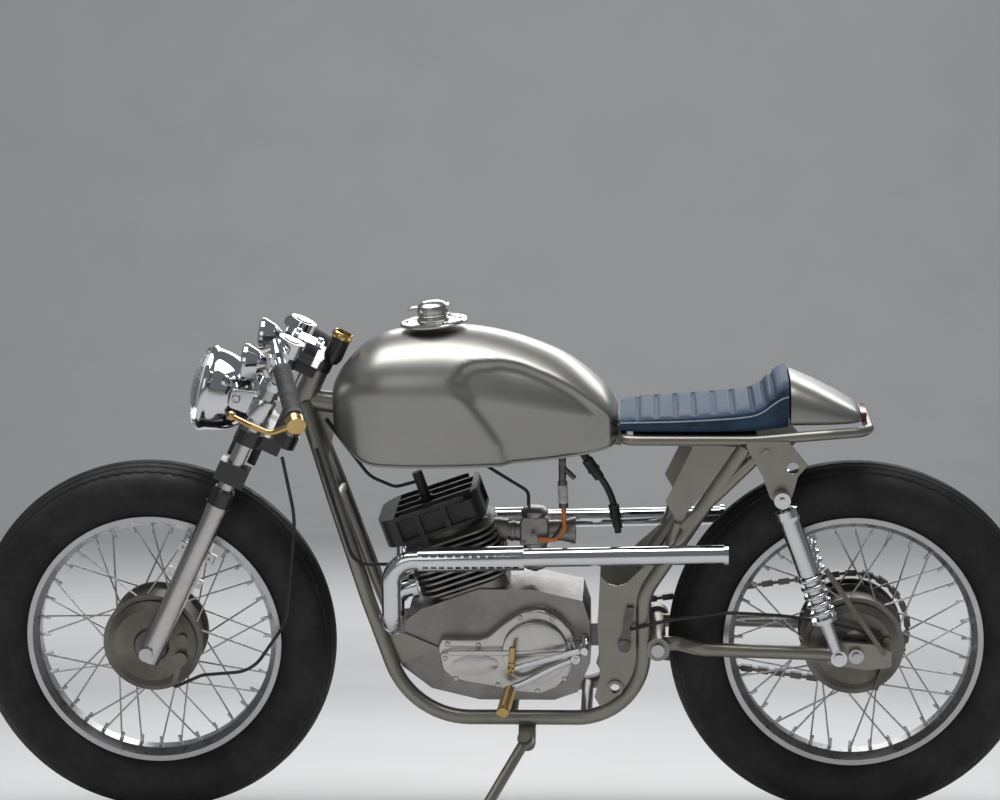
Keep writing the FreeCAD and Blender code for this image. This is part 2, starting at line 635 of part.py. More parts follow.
def shocks():
    """Damper units on both sides: cover tube, open spring coils and lower tube, with their bolts."""
    y = SHOCK_HALF_SPACING
    half = SHOCK_EYE_WIDTH / 2
    top, foot = V(SHOCK_TOP[0], y, SHOCK_TOP[1]), V(SHOCK_FOOT[0], y, SHOCK_FOOT[1])
    length = top.distanceToPoint(foot)
    down = (foot - top).normalize()
    outline = [(0, 0), (0, 8), (16, 9), (20, 21), (34, 22), (42, 20), (148, 20), (148, SPRING_CORE),
               (236, SPRING_CORE), (236, 24), (244, 24), (246, 12), (length, 11), (length, 0)]
    parts = [turned(outline, top, down)]
    for index in range(SPRING_COILS):
        centre = top + down * (157 + SPRING_PITCH * index)
        parts.append(Part.makeTorus(SPRING_RADIUS, SPRING_WIRE, centre, down))
    for x, z in (SHOCK_TOP, SHOCK_FOOT):
        parts.append(cross_bar(x, z, SHOCK_EYE_RADIUS, y - half, y + half))
    parts.append(cross_bar(SHOCK_TOP[0], SHOCK_TOP[1], SHOCK_BOLT_RADIUS - 0.1, RAIL_HALF_SPACING,
                           y + half + 8))
    parts.append(cross_bar(SHOCK_FOOT[0], SHOCK_FOOT[1], 10, y + half - 2, y + half + 8))
    return pair(fuse(parts))


def rear_axle():
    y = ARM_HALF_SPACING
    spindle = cross_bar(REAR_AXLE.x, REAR_AXLE.z, AXLE_RADIUS - 0.05, -y - 24, y + 24)
    nuts = [cross_bar(REAR_AXLE.x, REAR_AXLE.z, 14, side * (y + 6 + SEAT_GAP),
                      side * (y + 17)) for side in (-1, 1)]
    left = cross_bar(REAR_AXLE.x, REAR_AXLE.z, 13,
                     HUB_HALF_WIDTH + PLATE_GAP + PLATE_THICKNESS + 7 + SEAT_GAP,
                     y - 6 - SEAT_GAP)
    right = cross_bar(REAR_AXLE.x, REAR_AXLE.z, 13, SPROCKET_Y - SPROCKET_THICKNESS / 2 - 5,
                      -y + 6 + SEAT_GAP)
    return Part.makeCompound([fuse([spindle, left, right] + nuts), pivot_bolt()])


def torque_stay():
    y = ARM_HALF_SPACING + 6 + SEAT_GAP
    return plate([(-56, 350), (-50, 344), (62, 508), (54, 514)], y, y + 5)


# ---------------------------------------------------------------- engine
def crankcase():
    outline = [(848, 332), (836, 402), (806, 424), (700, 462), (600, 462), (506, 440), (493, 400),
               (492, 320),
               (516, 262), (560, 246), (700, 246), (790, 268), (846, 312)]
    deck = cylinder_frame(rounded_block(150, 136, 48, 40, (0, 0), DECK_HEIGHT - 48))
    x_from, x_to, z_from, z_to = GEARBOX_TAIL
    tail = box((x_from, x_to), (GEARBOX_TAIL_SIDE, GEARBOX_TAIL_SIDE + GEARBOX_TAIL_WIDTH), (z_from, z_to))
    return fuse([plate(outline, -CASE_HALF_WIDTH, CASE_HALF_WIDTH), deck, tail])


def cover_outline():
    return [(774, 354), (770, 316), (752, 300), (723, 290), (665, 281), (631, 271), (585, 268), (553, 280),
            (527, 304), (515, 350), (523, 389), (547, 416), (583, 431), (621, 425), (655, 398), (676, 364)]


def engine_covers():
    inner = CASE_HALF_WIDTH + SEAT_GAP
    low = plate(cover_outline(), inner, inner + COVER_DEPTH - 12)
    raised = cross_bar(596, 350, 62, inner, inner + COVER_DEPTH)
    badge = box((676, 760), (inner, inner + COVER_DEPTH - 6), (314, 350))
    return pair(fuse([low, raised, badge]))


def cylinder_frame(shape):
    """Takes a shape built upright on the barrel's base and leans it forward."""
    shape = shape.copy()
    shape.rotate(V(0, 0, 0), AXIS_Y, CYLINDER_LEAN_DEG)
    shape.translate(V(CYLINDER_BASE[0], 0, CYLINDER_BASE[1]))
    return shape


def cylinder():
    """Finned barrel on the crankcase's deck, with the inlet boss at its back."""
    foot = DECK_HEIGHT + SEAT_GAP
    core = Part.makeCylinder(CYLINDER_CORE_RADIUS, HEAD_LOW - SEAT_GAP - foot, V(0, 0, foot))
    parts = [core]
    for index in range(CYLINDER_FIN_COUNT):
        low = CYLINDER_FIN_LOW + CYLINDER_FIN_PITCH * index
        parts.append(rounded_block(CYLINDER_FIN_LENGTH, CYLINDER_FIN_WIDTH, FIN_THICKNESS, 40, (0, 0), low))
    inlet = rod((712, 0, 563), (648, 0, 555.889), 22)
    return fuse([cylinder_frame(fuse(parts)), inlet])


def cylinder_head():
    """Rounded block with framed recesses in its sides, tail and top, and the plug's cap on it."""
    low, high = HEAD_LOW, HEAD_LOW + HEAD_HEIGHT
    block = rounded_block(HEAD_LENGTH, HEAD_WIDTH, HEAD_HEIGHT, HEAD_CORNER, (HEAD_AHEAD, 0), low)
    edge = HEAD_WIDTH / 2
    recesses = []
    for x_from, x_to, depth in HEAD_PANELS:
        pocket = box((x_from, x_to), (edge - depth, edge + 5), (low + 7, high - 8))
        recesses += both(pocket)
    tail = HEAD_AHEAD - HEAD_LENGTH / 2
    recesses.append(box((tail - 5, tail + 7), (-44, 44), (low + 7, high - 8)))
    for y in (-66, -22, 22, 66):
        recesses.append(box((tail + 12, tail + HEAD_LENGTH - 34), (y - 18, y + 18), (high - 12, high + 5)))
    plug = [Part.makeCylinder(14, 16, V(PLUG_X, 0, high - 14)),
            Part.makeCylinder(10, 66, V(PLUG_X, 0, high - 14))]
    return cylinder_frame(fuse([cut(block, recesses)] + plug))


def carburettor():
    stub = rod((648 - SEAT_GAP, 0, 555.889 - SEAT_GAP / 9), (610, 0, 551.667), 18)
    body = box((568, 626), (-30, 30), (512, 604))
    bowl = Part.makeCylinder(26, 40, V(597, 0, 478))
    mouth = rod((570, 0, 556), (520, 0, 556), 26)
    return fuse([stub, body, bowl, mouth])


def exhaust():
    """Left header, straight pipe, slotted heat shield and slash-cut outlet."""
    y = PIPE_Y
    front_x, top_z = PIPE_TOP_FRONT
    pipe = bent_tube([PORT, (857, 62, 455), (857, 70, 404), (front_x, y, 404), (front_x, y, top_z),
                      (PIPE_TAIL[0], y, PIPE_TAIL[1])], (22, 22, 30, 45), PIPE_RADIUS)
    clamp = rod(PORT, V(*PORT) + (V(857, 62, 455) - V(*PORT)).normalize() * 10, PIPE_RADIUS + 6)
    slope = (PIPE_TAIL[1] - top_z) / (front_x - PIPE_TAIL[0])
    low_x, high_x = SHIELD_SPAN
    shield = rod((low_x, y, top_z + slope * (front_x - low_x)),
                 (high_x, y, top_z + slope * (front_x - high_x)),
                 SHIELD_RADIUS)
    slots = []
    for index in range(12):
        x = low_x + 14 + index * (high_x - low_x - 28) / 11
        for side in (-1, 1):
            slots.append(box((x - 5, x + 5), (y + 8, y + 30),
                             (top_z + side * 11 - 2.5 + 3, top_z + side * 11 + 5.5)))
    lip = rod((PIPE_TAIL[0], y, PIPE_TAIL[1]), (PIPE_TAIL[0] + 8, y, PIPE_TAIL[1]),
              PIPE_RADIUS + OUTLET_LIP)
    bore = rod((PIPE_TAIL[0] - 5, y, PIPE_TAIL[1]), (PIPE_TAIL[0] + OUTLET_BORE_DEPTH, y, PIPE_TAIL[1]),
               OUTLET_BORE_RADIUS)
    return cut(fuse([pipe, clamp, cut(shield, slots), lip]), bore)


# ---------------------------------------------------------------- bodywork
TANK_SECTIONS = (               # x, bottom, widest height, top, half width at the bottom, half width
    (441.8, 738, 785, 800, 52, 64),
    (470, 728, 792, 842, 80, 98),
    (540, 716, 804, 896, 94, 122),
    (640, 707, 822, 934, 100, 133),
    (740, 703, 838, 949, 102, 136),
    (850, 702, 842, 940, 98, 131),
    (908, 707, 838, 916, 82, 112),
    (948, 738, 824, 876, 54, 80),
    (968, 768, 812, 842, 28, 46),
)


def tank_section(x, bottom, wide, top, half_bottom, half):
    corners = [V(x, -half_bottom, bottom), V(x, half_bottom, bottom), V(x, half, wide), V(x, 0, top),
               V(x, -half, wide)]
    lower = V(x, half_bottom + (half - half_bottom) * 0.68, bottom + (wide - bottom) * 0.42)
    upper = V(x, half * 0.76, wide + (top - wide) * 0.74)
    edges = [Part.LineSegment(corners[0], corners[1]).toShape(),
             Part.Arc(corners[1], lower, corners[2]).toShape(),
             Part.Arc(corners[2], upper, corners[3]).toShape(),
             Part.Arc(corners[3], V(x, -upper.y, upper.z), corners[4]).toShape(),
             Part.Arc(corners[4], V(x, -lower.y, lower.z), corners[0]).toShape()]
    return Part.Wire(edges)


def tank_volume(wall):
    """The tank's outer form, or with a wall thickness its hollow inside."""
    rows = [(x + wall * (450 - x) / 300, bottom + wall, wide, top - wall, low_half - wall, half - wall)
            for x, bottom, wide, top, low_half, half in TANK_SECTIONS]
    if wall:
        rows[0] = (rows[0][0] + wall,) + rows[0][1:]
    body = Part.makeLoft([tank_section(*row) for row in rows], True, False)
    knee = plate([(744, 864 + wall), (728, 894 + wall), (704, 906 + wall), (650, 908 + wall),
                  (612, 900 + wall),
                  (560, 878 + wall), (515, 853 + wall), (480, 826 + wall), (460, 798), (458, 690),
                  (640, 690),
                  (664, 742), (696, 792)], 136 - KNEE_DEPTH - wall, 170)
    w = TANK_TUNNEL_HALF_WIDTH + wall
    tunnel = plate([(400, 680), (1000, 680), (1000, 858 + wall), (400, 774 + wall)], -w, w)
    return cut(body, [tunnel] + both(knee))


def tank():
    boss = Part.makeCylinder(CAP_RING_RADIUS, 26, V(0, 0, -26))
    boss.rotate(V(0, 0, 0), AXIS_Y, CAP_TILT_DEG)
    boss.translate(V(CAP_CENTRE[0], 0, CAP_CENTRE[1]))
    outer = fuse([tank_volume(0), boss])
    return cut(outer, tank_volume(TANK_WALL))


def fuel_cap():
    r, h = CAP_RING_RADIUS, CAP_RING_HEIGHT
    ring = Part.makeCylinder(r, h, V(0, 0, SEAT_GAP))
    body = Part.makeCylinder(CAP_BODY_RADIUS, CAP_BODY_HEIGHT, V(0, 0, h))
    lever = box((8, 42), (-9, 9), (h + 22, h + 31))
    screws = [Part.makeCylinder(3.5, 3, V(50 * math.cos(a), 50 * math.sin(a), h))
              for a in [math.radians(60 * index) for index in range(6)]]
    cap = fuse([ring, body, lever] + screws)
    cap.rotate(V(0, 0, 0), AXIS_Y, CAP_TILT_DEG)
    cap.translate(V(CAP_CENTRE[0], 0, CAP_CENTRE[1]))
    return cap


SEAT_SECTIONS = (               # x, base, side wall's top, crown, half width
    (436, 764.9, 786, 793, 92),
    (400, 764.9, 789, 797, 100),
    (220, 764.9, 793, 801, 104),
    (165, 767.5, 815, 826, 100),
    (128, 770.4, 832, 862, 92),
)
COWL_SECTIONS = (
    (124, COWL_BASE, 812, 858, 97),
    (60, COWL_BASE, 796, 832, 88),
    (14, COWL_BASE, 784, 806, 68),
    (-6, COWL_BASE, 779, 796, 52),
)


def arched_section(x, base, shoulder, crown, half):
    corners = [V(x, -half, base), V(x, half, base), V(x, half, shoulder), V(x, -half, shoulder)]
    return Part.Wire([Part.LineSegment(corners[0], corners[1]).toShape(),
                      Part.LineSegment(corners[1], corners[2]).toShape(),
                      Part.Arc(corners[2], V(x, 0, crown), corners[3]).toShape(),
                      Part.LineSegment(corners[3], corners[0]).toShape()])


def seat_pad():
    return Part.makeLoft([arched_section(*row) for row in SEAT_SECTIONS], True, True)


def tail_cowl():
    return Part.makeLoft([arched_section(*row) for row in COWL_SECTIONS], True, True)


def seat_pan():
    """The tray under the seat, hung between the rails."""
    y = RAIL_HALF_SPACING - RAIL_RADIUS - SEAT_GAP - 1.5
    return box((186, 412), (-y, y), (757, 764.6))


def tail_light():
    return box((-16, -6 - SEAT_GAP), (-40, 40), (RAIL_HEIGHT + TAIL_LIGHT_SEAT, 792))


# ---------------------------------------------------------------- controls, chain and small pieces
def chain():
    """The loop round both sprockets, one closed band."""
    y_from, y_to = SPROCKET_Y - CHAIN_WIDTH / 2, SPROCKET_Y + CHAIN_WIDTH / 2
    big = (REAR_AXLE.x, REAR_AXLE.z, SPROCKET_RADIUS + CHAIN_GAP)

    def band(growth):
        (x1, z1, r1), (x2, z2, r2) = big, DRIVE_SPROCKET
        r1, r2 = r1 + growth, r2 + growth
        span = math.hypot(x2 - x1, z2 - z1)
        tilt = math.atan2(z2 - z1, x2 - x1)
        lean = math.acos((r1 - r2) / span)

        def at(x, z, r, angle):
            return V(x + r * math.cos(angle), y_from, z + r * math.sin(angle))
        upper, lower = tilt + lean, tilt - lean
        edges = [Part.LineSegment(at(x1, z1, r1, upper), at(x2, z2, r2, upper)),
                 Part.Arc(at(x2, z2, r2, upper), at(x2, z2, r2, tilt), at(x2, z2, r2, lower)),
                 Part.LineSegment(at(x2, z2, r2, lower), at(x1, z1, r1, lower)),
                 Part.Arc(at(x1, z1, r1, lower), at(x1, z1, r1, tilt + math.pi), at(x1, z1, r1, upper))]
        wire = Part.Wire([edge.toShape() for edge in edges])
        return Part.Face(wire).extrude(V(0, y_to - y_from, 0))
    core = cut(band(CHAIN_HEIGHT - CHAIN_WAIST), band(CHAIN_WAIST))
    return fuse([core] + chain_links(big, y_from, y_to))


def chain_links(big, y_from, y_to):
    """Outer link plates, one pitch in two, evenly spread along the loop's middle line."""
    (x1, z1, r1), (x2, z2, r2) = big, DRIVE_SPROCKET
    r1, r2 = r1 + CHAIN_HEIGHT / 2, r2 + CHAIN_HEIGHT / 2
    span = math.hypot(x2 - x1, z2 - z1)
    tilt = math.atan2(z2 - z1, x2 - x1)
    lean = math.acos((r1 - r2) / span)
    run = span * math.sin(lean)
    arc1, arc2 = r1 * (2 * math.pi - 2 * lean), r2 * 2 * lean
    total = 2 * run + arc1 + arc2
    count = round(total / CHAIN_PITCH / 2)
    low, high = math.degrees(tilt + lean), math.degrees(tilt - lean)

    def place(at):
        """Where the point this far along lies, and which way the chain runs there, in degrees."""
        if at < run + arc2:
            bend = max(0.0, at - run) / r2
            angle = tilt + lean - bend
            corner = V(x2 + r2 * math.cos(angle), 0, z2 + r2 * math.sin(angle))
            ahead = V(math.sin(tilt + lean), 0, -math.cos(tilt + lean)) * min(0.0, at - run)
            return corner + ahead, low - math.degrees(bend)
        past = at - run - arc2
        bend = max(0.0, past - run) / r1
        angle = tilt - lean - bend
        corner = V(x1 + r1 * math.cos(angle), 0, z1 + r1 * math.sin(angle))
        ahead = V(math.sin(tilt - lean), 0, -math.cos(tilt - lean)) * min(0.0, past - run)
        return corner + ahead, high - math.degrees(bend)
    links = []
    for index in range(count):
        point, angle = place(total * (index + 0.5) / count)
        link = box((-CHAIN_HEIGHT / 2, CHAIN_HEIGHT / 2), (y_from, y_to),
                   (-LINK_LENGTH / 2, LINK_LENGTH / 2))
        link.rotate(V(0, 0, 0), AXIS_Y, -angle)
        link.translate(point)
        links.append(link)
    return links


def drive_sprocket():
    x, z, r = DRIVE_SPROCKET
    wheel = cross_bar(x, z, r - SEAT_GAP, SPROCKET_Y - 3, SPROCKET_Y + 3)
    return fuse([wheel, cross_bar(x, z, 16, SPROCKET_Y, GEARBOX_TAIL_SIDE - SEAT_GAP)])


def foot_levers():
    """Gear lever on the cover, and the kick lever behind it."""
    seat = CASE_HALF_WIDTH + SEAT_GAP
    arm = bent_tube([(518, 132, 347), (578, 134, 319), (640, 138, 291)], (80,), 6.5)
    gear = fuse([arm, cross_bar(518, 347, 10, seat + COVER_DEPTH - 12 + SEAT_GAP, 140)])
    kick = fuse([rod((502, 146, 368), (636, 146, 331), 6), ball((636, 146, 331), 9),
                 cross_bar(502, 368, 9, seat, 155)])
    return [gear, kick]


def lever_pegs():
    return [rod((640, 145, 290), (650, 222, 272), 12), rod((636, 146, 340.5), (634, 150, 376), 6)]


def cable(points, bends, radius=3.2):
    CORD_RADII.append(radius)
    return bent_tube(points, bends, radius)


def front_cables():
    """Front brake cable on the fork's left, from the brake arm up to the lower yoke."""
    return cable([(1278, 75.6, 268), (1225, 75, 292), (1130, 74, 300), (1060, 74, 400), (1040, 74, 600),
                  (1061, 70, 715.6)], (40, 70, 120, 200))


def cables():
    """Clutch cable on the down tube, rear brake cable, the plug's lead and the throttle cable."""
    clutch = cable([(998.8, 54.8, 728.6), (968, 76.4, 634), (930, 88.2, 514), (829, 55, 506)], (150, 40))
    brake = cable([(417, 117.6, 399), (350, 122, 418), (240, 122, 434), (130, 110, 424), (30, 82, 398),
                   (-52, 72, 374)], (150, 200, 200, 150))
    lead = cable([(821.4, 0, 650), (858, 0, 640), (905, 6.5, 662), (962, 6.5, 740), (985, 6.5, 772)],
                 (25, 60, 80))
    throttle = cable([(738, 0, 751.5), (700, 0, 690), (640, 0, 652), (608, 0, 632), (608, 0, 604.4)],
                     (60, 60, 18))
    return Part.makeCompound([clutch, brake, lead, throttle])


def fittings():
    """Fuel tap, filter and hose, and the brake arm on the left side plate."""
    seat = tank_volume(0)
    seat.translate(V(0, 0, -SEAT_GAP))
    stem = cut(rod((543, 40, 735), (543, 40, 664), 7), seat)
    tap = fuse([cross_bar(543, 698, 6, 30, 50), stem, rod((543, 40, 690), (520, 40, 668), 5),
                rod((543, 40, 664), (541, 40, 612), 9)])
    fuel = cable([(541, 40, 614), (541, 40, 580), (560, 34.9, 548), (590, 34.9, 548)], (24, 12), 4.5)
    lever = fuse([cross_bar(428, 366, 12, CRADLE_HALF_SPACING + 3.3, CRADLE_HALF_SPACING + 18),
                  plate([(420, 362), (436, 362), (424, 440), (410, 440)], CRADLE_HALF_SPACING + 8,
                        CRADLE_HALF_SPACING + 14)])
    return Part.makeCompound([fuse([tap, fuel]), lever])


# ---------------------------------------------------------------- side stand
def stand_foot():
    return V(STAND_FOOT_X, STAND_FOOT_Y, ground_height(STAND_FOOT_Y))


def ground_normal():
    lean = math.radians(LEAN_DEG)
    return V(0, -math.sin(lean), math.cos(lean))


def side_stand():
    pivot = V(*STAND_PIVOT)
    foot = stand_foot()
    up = ground_normal()
    pad = Part.makeCylinder(STAND_FOOT_RADIUS, STAND_FOOT_THICKNESS, foot, up)
    leg = rod(pivot, foot + up * (STAND_FOOT_THICKNESS - 2), STAND_LEG_RADIUS)
    axis = V(*STAND_AXIS).normalize()
    hub_end = Part.makeCylinder(15, 20, pivot - axis * 10, axis)
    pin_hole = Part.makeCylinder(STAND_PIN_RADIUS + STAND_PIN_CLEARANCE, 60, pivot - axis * 30, axis)
    ground_cut = Part.makeBox(400, 400, 60, V(-200, -200, -60))
    ground_cut.rotate(V(0, 0, 0), AXIS_X, LEAN_DEG)
    ground_cut.translate(foot)
    return cut(fuse([pad, leg, hub_end]), [pin_hole, ground_cut])


# ---------------------------------------------------------------- the whole machine
def build():
    return {
        "frame": frame(), "swingarm": swingarm(), "shocks": shocks(), "rear_axle": rear_axle(),
        "rear_brake_plate": Part.makeCompound([brake_plate(REAR_AXLE), torque_stay()]),
        "crankcase": crankcase(), "engine_covers": engine_covers(), "cylinder": cylinder(),
        "cylinder_head": cylinder_head(), "carburettor": carburettor(), "exhausts": pair(exhaust()),
        "tank": tank(), "fuel_cap": fuel_cap(), "seat_pad": seat_pad(), "seat_pan": seat_pan(),
        "tail_cowl": tail_cowl(), "tail_light": tail_light(),
        "chain": Part.makeCompound([chain(), drive_sprocket()]),
        "foot_levers": Part.makeCompound(foot_levers() + lever_pegs()),
        "cables": cables(), "front_cables": front_cables(), "fittings": fittings(),
        "fork_yokes": fork_yokes(), "fork_legs": fork_legs(),
        "fork_brace": Part.makeCompound(both(fork_boot()) + [fork_brace()]), "front_axle": front_axle(),
        "front_brake_plate": brake_plate(FRONT_AXLE),
        "headlight": headlight(), "headlight_lens": headlight_lens(), "clip_ons": clip_ons(),
        "grips": grips(), "hand_levers": hand_levers(), "gauge": gauge(), "bar_clamp": bar_clamp(),
        "marker_lamps": marker_lamps(),
        "front_tyre": tyre(FRONT_AXLE), "front_rim": rim(FRONT_AXLE), "front_hub": hub(FRONT_AXLE),
        "front_spokes": spokes(FRONT_AXLE),
        "rear_tyre": tyre(REAR_AXLE), "rear_rim": rim(REAR_AXLE), "rear_hub": hub(REAR_AXLE),
        "rear_spokes": spokes(REAR_AXLE), "rear_sprocket": rear_sprocket(),
        "side_stand": side_stand(),
    }


def parked(shapes):
    """Leans every shape onto the stand and puts the origin under the middle of the whole box."""
    lean = FreeCAD.Placement(V(0, 0, 0), FreeCAD.Rotation(AXIS_X, -LEAN_DEG))
    leaned = {}
    whole = FreeCAD.BoundBox()
    for name, shape in shapes.items():
        copy = shape.copy()
        copy.Placement = lean.multiply(copy.Placement)
        whole.add(copy.optimalBoundingBox(False, False))
        leaned[name] = copy
    shift = V(-whole.Center.x, -whole.Center.y, -whole.ZMin)
    for copy in leaned.values():
        copy.translate(shift)
    return leaned, FreeCAD.Placement(shift, lean.Rotation)


def main():
    os.makedirs("parts", exist_ok=True)
    shapes, placement = parked(build())
    for name, shape in shapes.items():
        shape.exportStep("parts/" + name + ".step")
    print("cord radii in mm:", sorted(set(CORD_RADII)))
    return shapes, placement


SHAPES, PLACEMENT = main()
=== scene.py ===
"""Looks of a parked cafe racer motorcycle, laid out as an add-on and run as a script."""
import math

import bpy
from mathutils import Matrix, Vector


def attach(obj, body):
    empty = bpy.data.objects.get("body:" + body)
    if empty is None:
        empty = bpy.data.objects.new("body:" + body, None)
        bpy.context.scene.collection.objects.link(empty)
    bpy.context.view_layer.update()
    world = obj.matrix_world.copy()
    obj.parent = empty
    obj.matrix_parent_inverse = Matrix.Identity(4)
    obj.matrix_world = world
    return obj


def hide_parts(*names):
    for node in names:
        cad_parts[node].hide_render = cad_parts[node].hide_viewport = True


bl_info = {
    "name": "Cafe racer looks",
    "version": (1, 0, 0),
    "blender": (4, 5, 0),
    "location": "View3D > Sidebar > Racer",
    "description": "Builds the finished surfaces of a cafe racer motorcycle around its fixed frame",
    "category": "Add Mesh",
}

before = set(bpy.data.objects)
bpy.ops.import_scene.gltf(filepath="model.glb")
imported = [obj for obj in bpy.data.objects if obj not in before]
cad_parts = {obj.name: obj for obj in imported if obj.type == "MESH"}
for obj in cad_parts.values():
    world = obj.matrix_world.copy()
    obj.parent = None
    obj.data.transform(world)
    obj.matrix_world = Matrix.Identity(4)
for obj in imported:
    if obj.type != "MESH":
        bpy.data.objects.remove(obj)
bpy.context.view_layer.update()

# The machine is modelled upright in millimetres, as its construction is: X forward from the rear
# axle, Y to the rider's left, Z up. PARK leans it onto its stand, in metres.
LEAN = math.radians(13.5)
SHIFT = Vector((-0.661, -0.197761, 0.00154728))
PARK = Matrix.Translation(SHIFT) @ Matrix.Rotation(-LEAN, 4, "X") @ Matrix.Scale(0.001, 4)
WHEELBASE, AXLE_HEIGHT = 1322.0, 346.0
FRONT, REAR = (WHEELBASE, 0.0, AXLE_HEIGHT), (0.0, 0.0, AXLE_HEIGHT)
RAKE = math.radians(25.4)
LEG_UP = Vector((-math.sin(RAKE), 0, math.cos(RAKE)))
LEG_AHEAD = Vector((math.cos(RAKE), 0, math.sin(RAKE)))


def fork_point(along, ahead=0.0, y=0.0):
    return Vector(FRONT) + LEG_UP * along + LEG_AHEAD * (ahead - 6.0) + Vector((0, y, 0))


# ---------------------------------------------------------------- materials
class Shader:
    """Short hand for building one node material."""

    def __init__(self, name):
        self.material = bpy.data.materials.new(name)
        self.material.use_nodes = True
        self.nodes = self.material.node_tree.nodes
        self.links = self.material.node_tree.links
        self.bsdf = self.nodes["Principled BSDF"]
        self.coords = self.nodes.new("ShaderNodeTexCoord").outputs["Object"]

    def put(self, socket, value):
        if hasattr(value, "is_linked"):
            self.links.new(value, socket)
        elif isinstance(value, (tuple, list)):
            socket.default_value = (*value, 1.0) if len(value) == 3 and socket.type == "RGBA" else value
        else:
            socket.default_value = value

    def surface(self, **values):
        for name, value in values.items():
            self.put(self.bsdf.inputs[name.replace("_", " ")], value)
        return self

    def noise(self, scale, detail=4.0, rough=0.55, vector=None):
        node = self.nodes.new("ShaderNodeTexNoise")
        self.put(node.inputs["Vector"], vector or self.coords)
        node.inputs["Scale"].default_value = scale
        node.inputs["Detail"].default_value = detail
        node.inputs["Roughness"].default_value = rough
        return node.outputs["Fac"]

    def cells(self, scale, vector=None, feature="F1"):
        node = self.nodes.new("ShaderNodeTexVoronoi")
        node.feature = feature
        self.put(node.inputs["Vector"], vector or self.coords)
        node.inputs["Scale"].default_value = scale
        return node.outputs["Distance"]

    def ramp(self, value, low, high, stops=(0.35, 0.65)):
        node = self.nodes.new("ShaderNodeValToRGB")
        self.put(node.inputs["Fac"], value)
        for element, place, colour in zip(node.color_ramp.elements, stops, (low, high)):
            element.position = place
            element.color = (*colour, 1.0) if isinstance(colour, tuple) else (colour, colour, colour, 1.0)
        return node.outputs["Color"]

    def span(self, value, low, high, from_low=0.3, from_high=0.7):
        node = self.nodes.new("ShaderNodeMapRange")
        self.put(node.inputs["Value"], value)
        for socket, number in zip(node.inputs[1:5], (from_low, from_high, low, high)):
            socket.default_value = number
        return node.outputs["Result"]

    def mix(self, factor, first, second):
        node = self.nodes.new("ShaderNodeMix")
        node.data_type = "RGBA"
        self.put(node.inputs[0], factor)
        self.put(node.inputs[6], first)
        self.put(node.inputs[7], second)
        return node.outputs[2]

    def math(self, kind, first, second=0.5):
        node = self.nodes.new("ShaderNodeMath")
        node.operation = kind
        self.put(node.inputs[0], first)
        self.put(node.inputs[1], second)
        return node.outputs[0]

    def edges(self):
        """High where the surface turns sharply outwards; the leather uses it for worn edges and a painted
        highlight.
        """
        pointy = self.nodes.new("ShaderNodeNewGeometry").outputs["Pointiness"]
        return self.span(pointy, 0.0, 1.0, 0.52, 0.58)

    def bump(self, height, strength=0.2, distance=0.001):
        node = self.nodes.new("ShaderNodeBump")
        node.inputs["Strength"].default_value = strength
        node.inputs["Distance"].default_value = distance
        self.put(node.inputs["Height"], height)
        self.put(self.bsdf.inputs["Normal"], node.outputs["Normal"])
        return self


def metal(name, colour, rough, spread=0.08, grime=0.0, scale=60.0, grain=0.03, metallic=1.0, coat=0.0):
    """A metal with smudges, fine grain, and dirt in its broad patches."""
    s = Shader(name)
    patches = s.noise(scale * 0.12, 5.0)
    fine = s.noise(scale * 10, 3.0)
    dark = tuple(c * (1.0 - grime) for c in colour)
    s.surface(Metallic=metallic, Base_Color=s.ramp(patches, dark, colour, (0.38, 0.62)),
              Roughness=s.span(s.noise(scale, 4.0), rough - spread / 2,
                               rough + spread / 2), Coat_Weight=coat)
    s.bump(fine, grain, 0.0004)
    return s.material


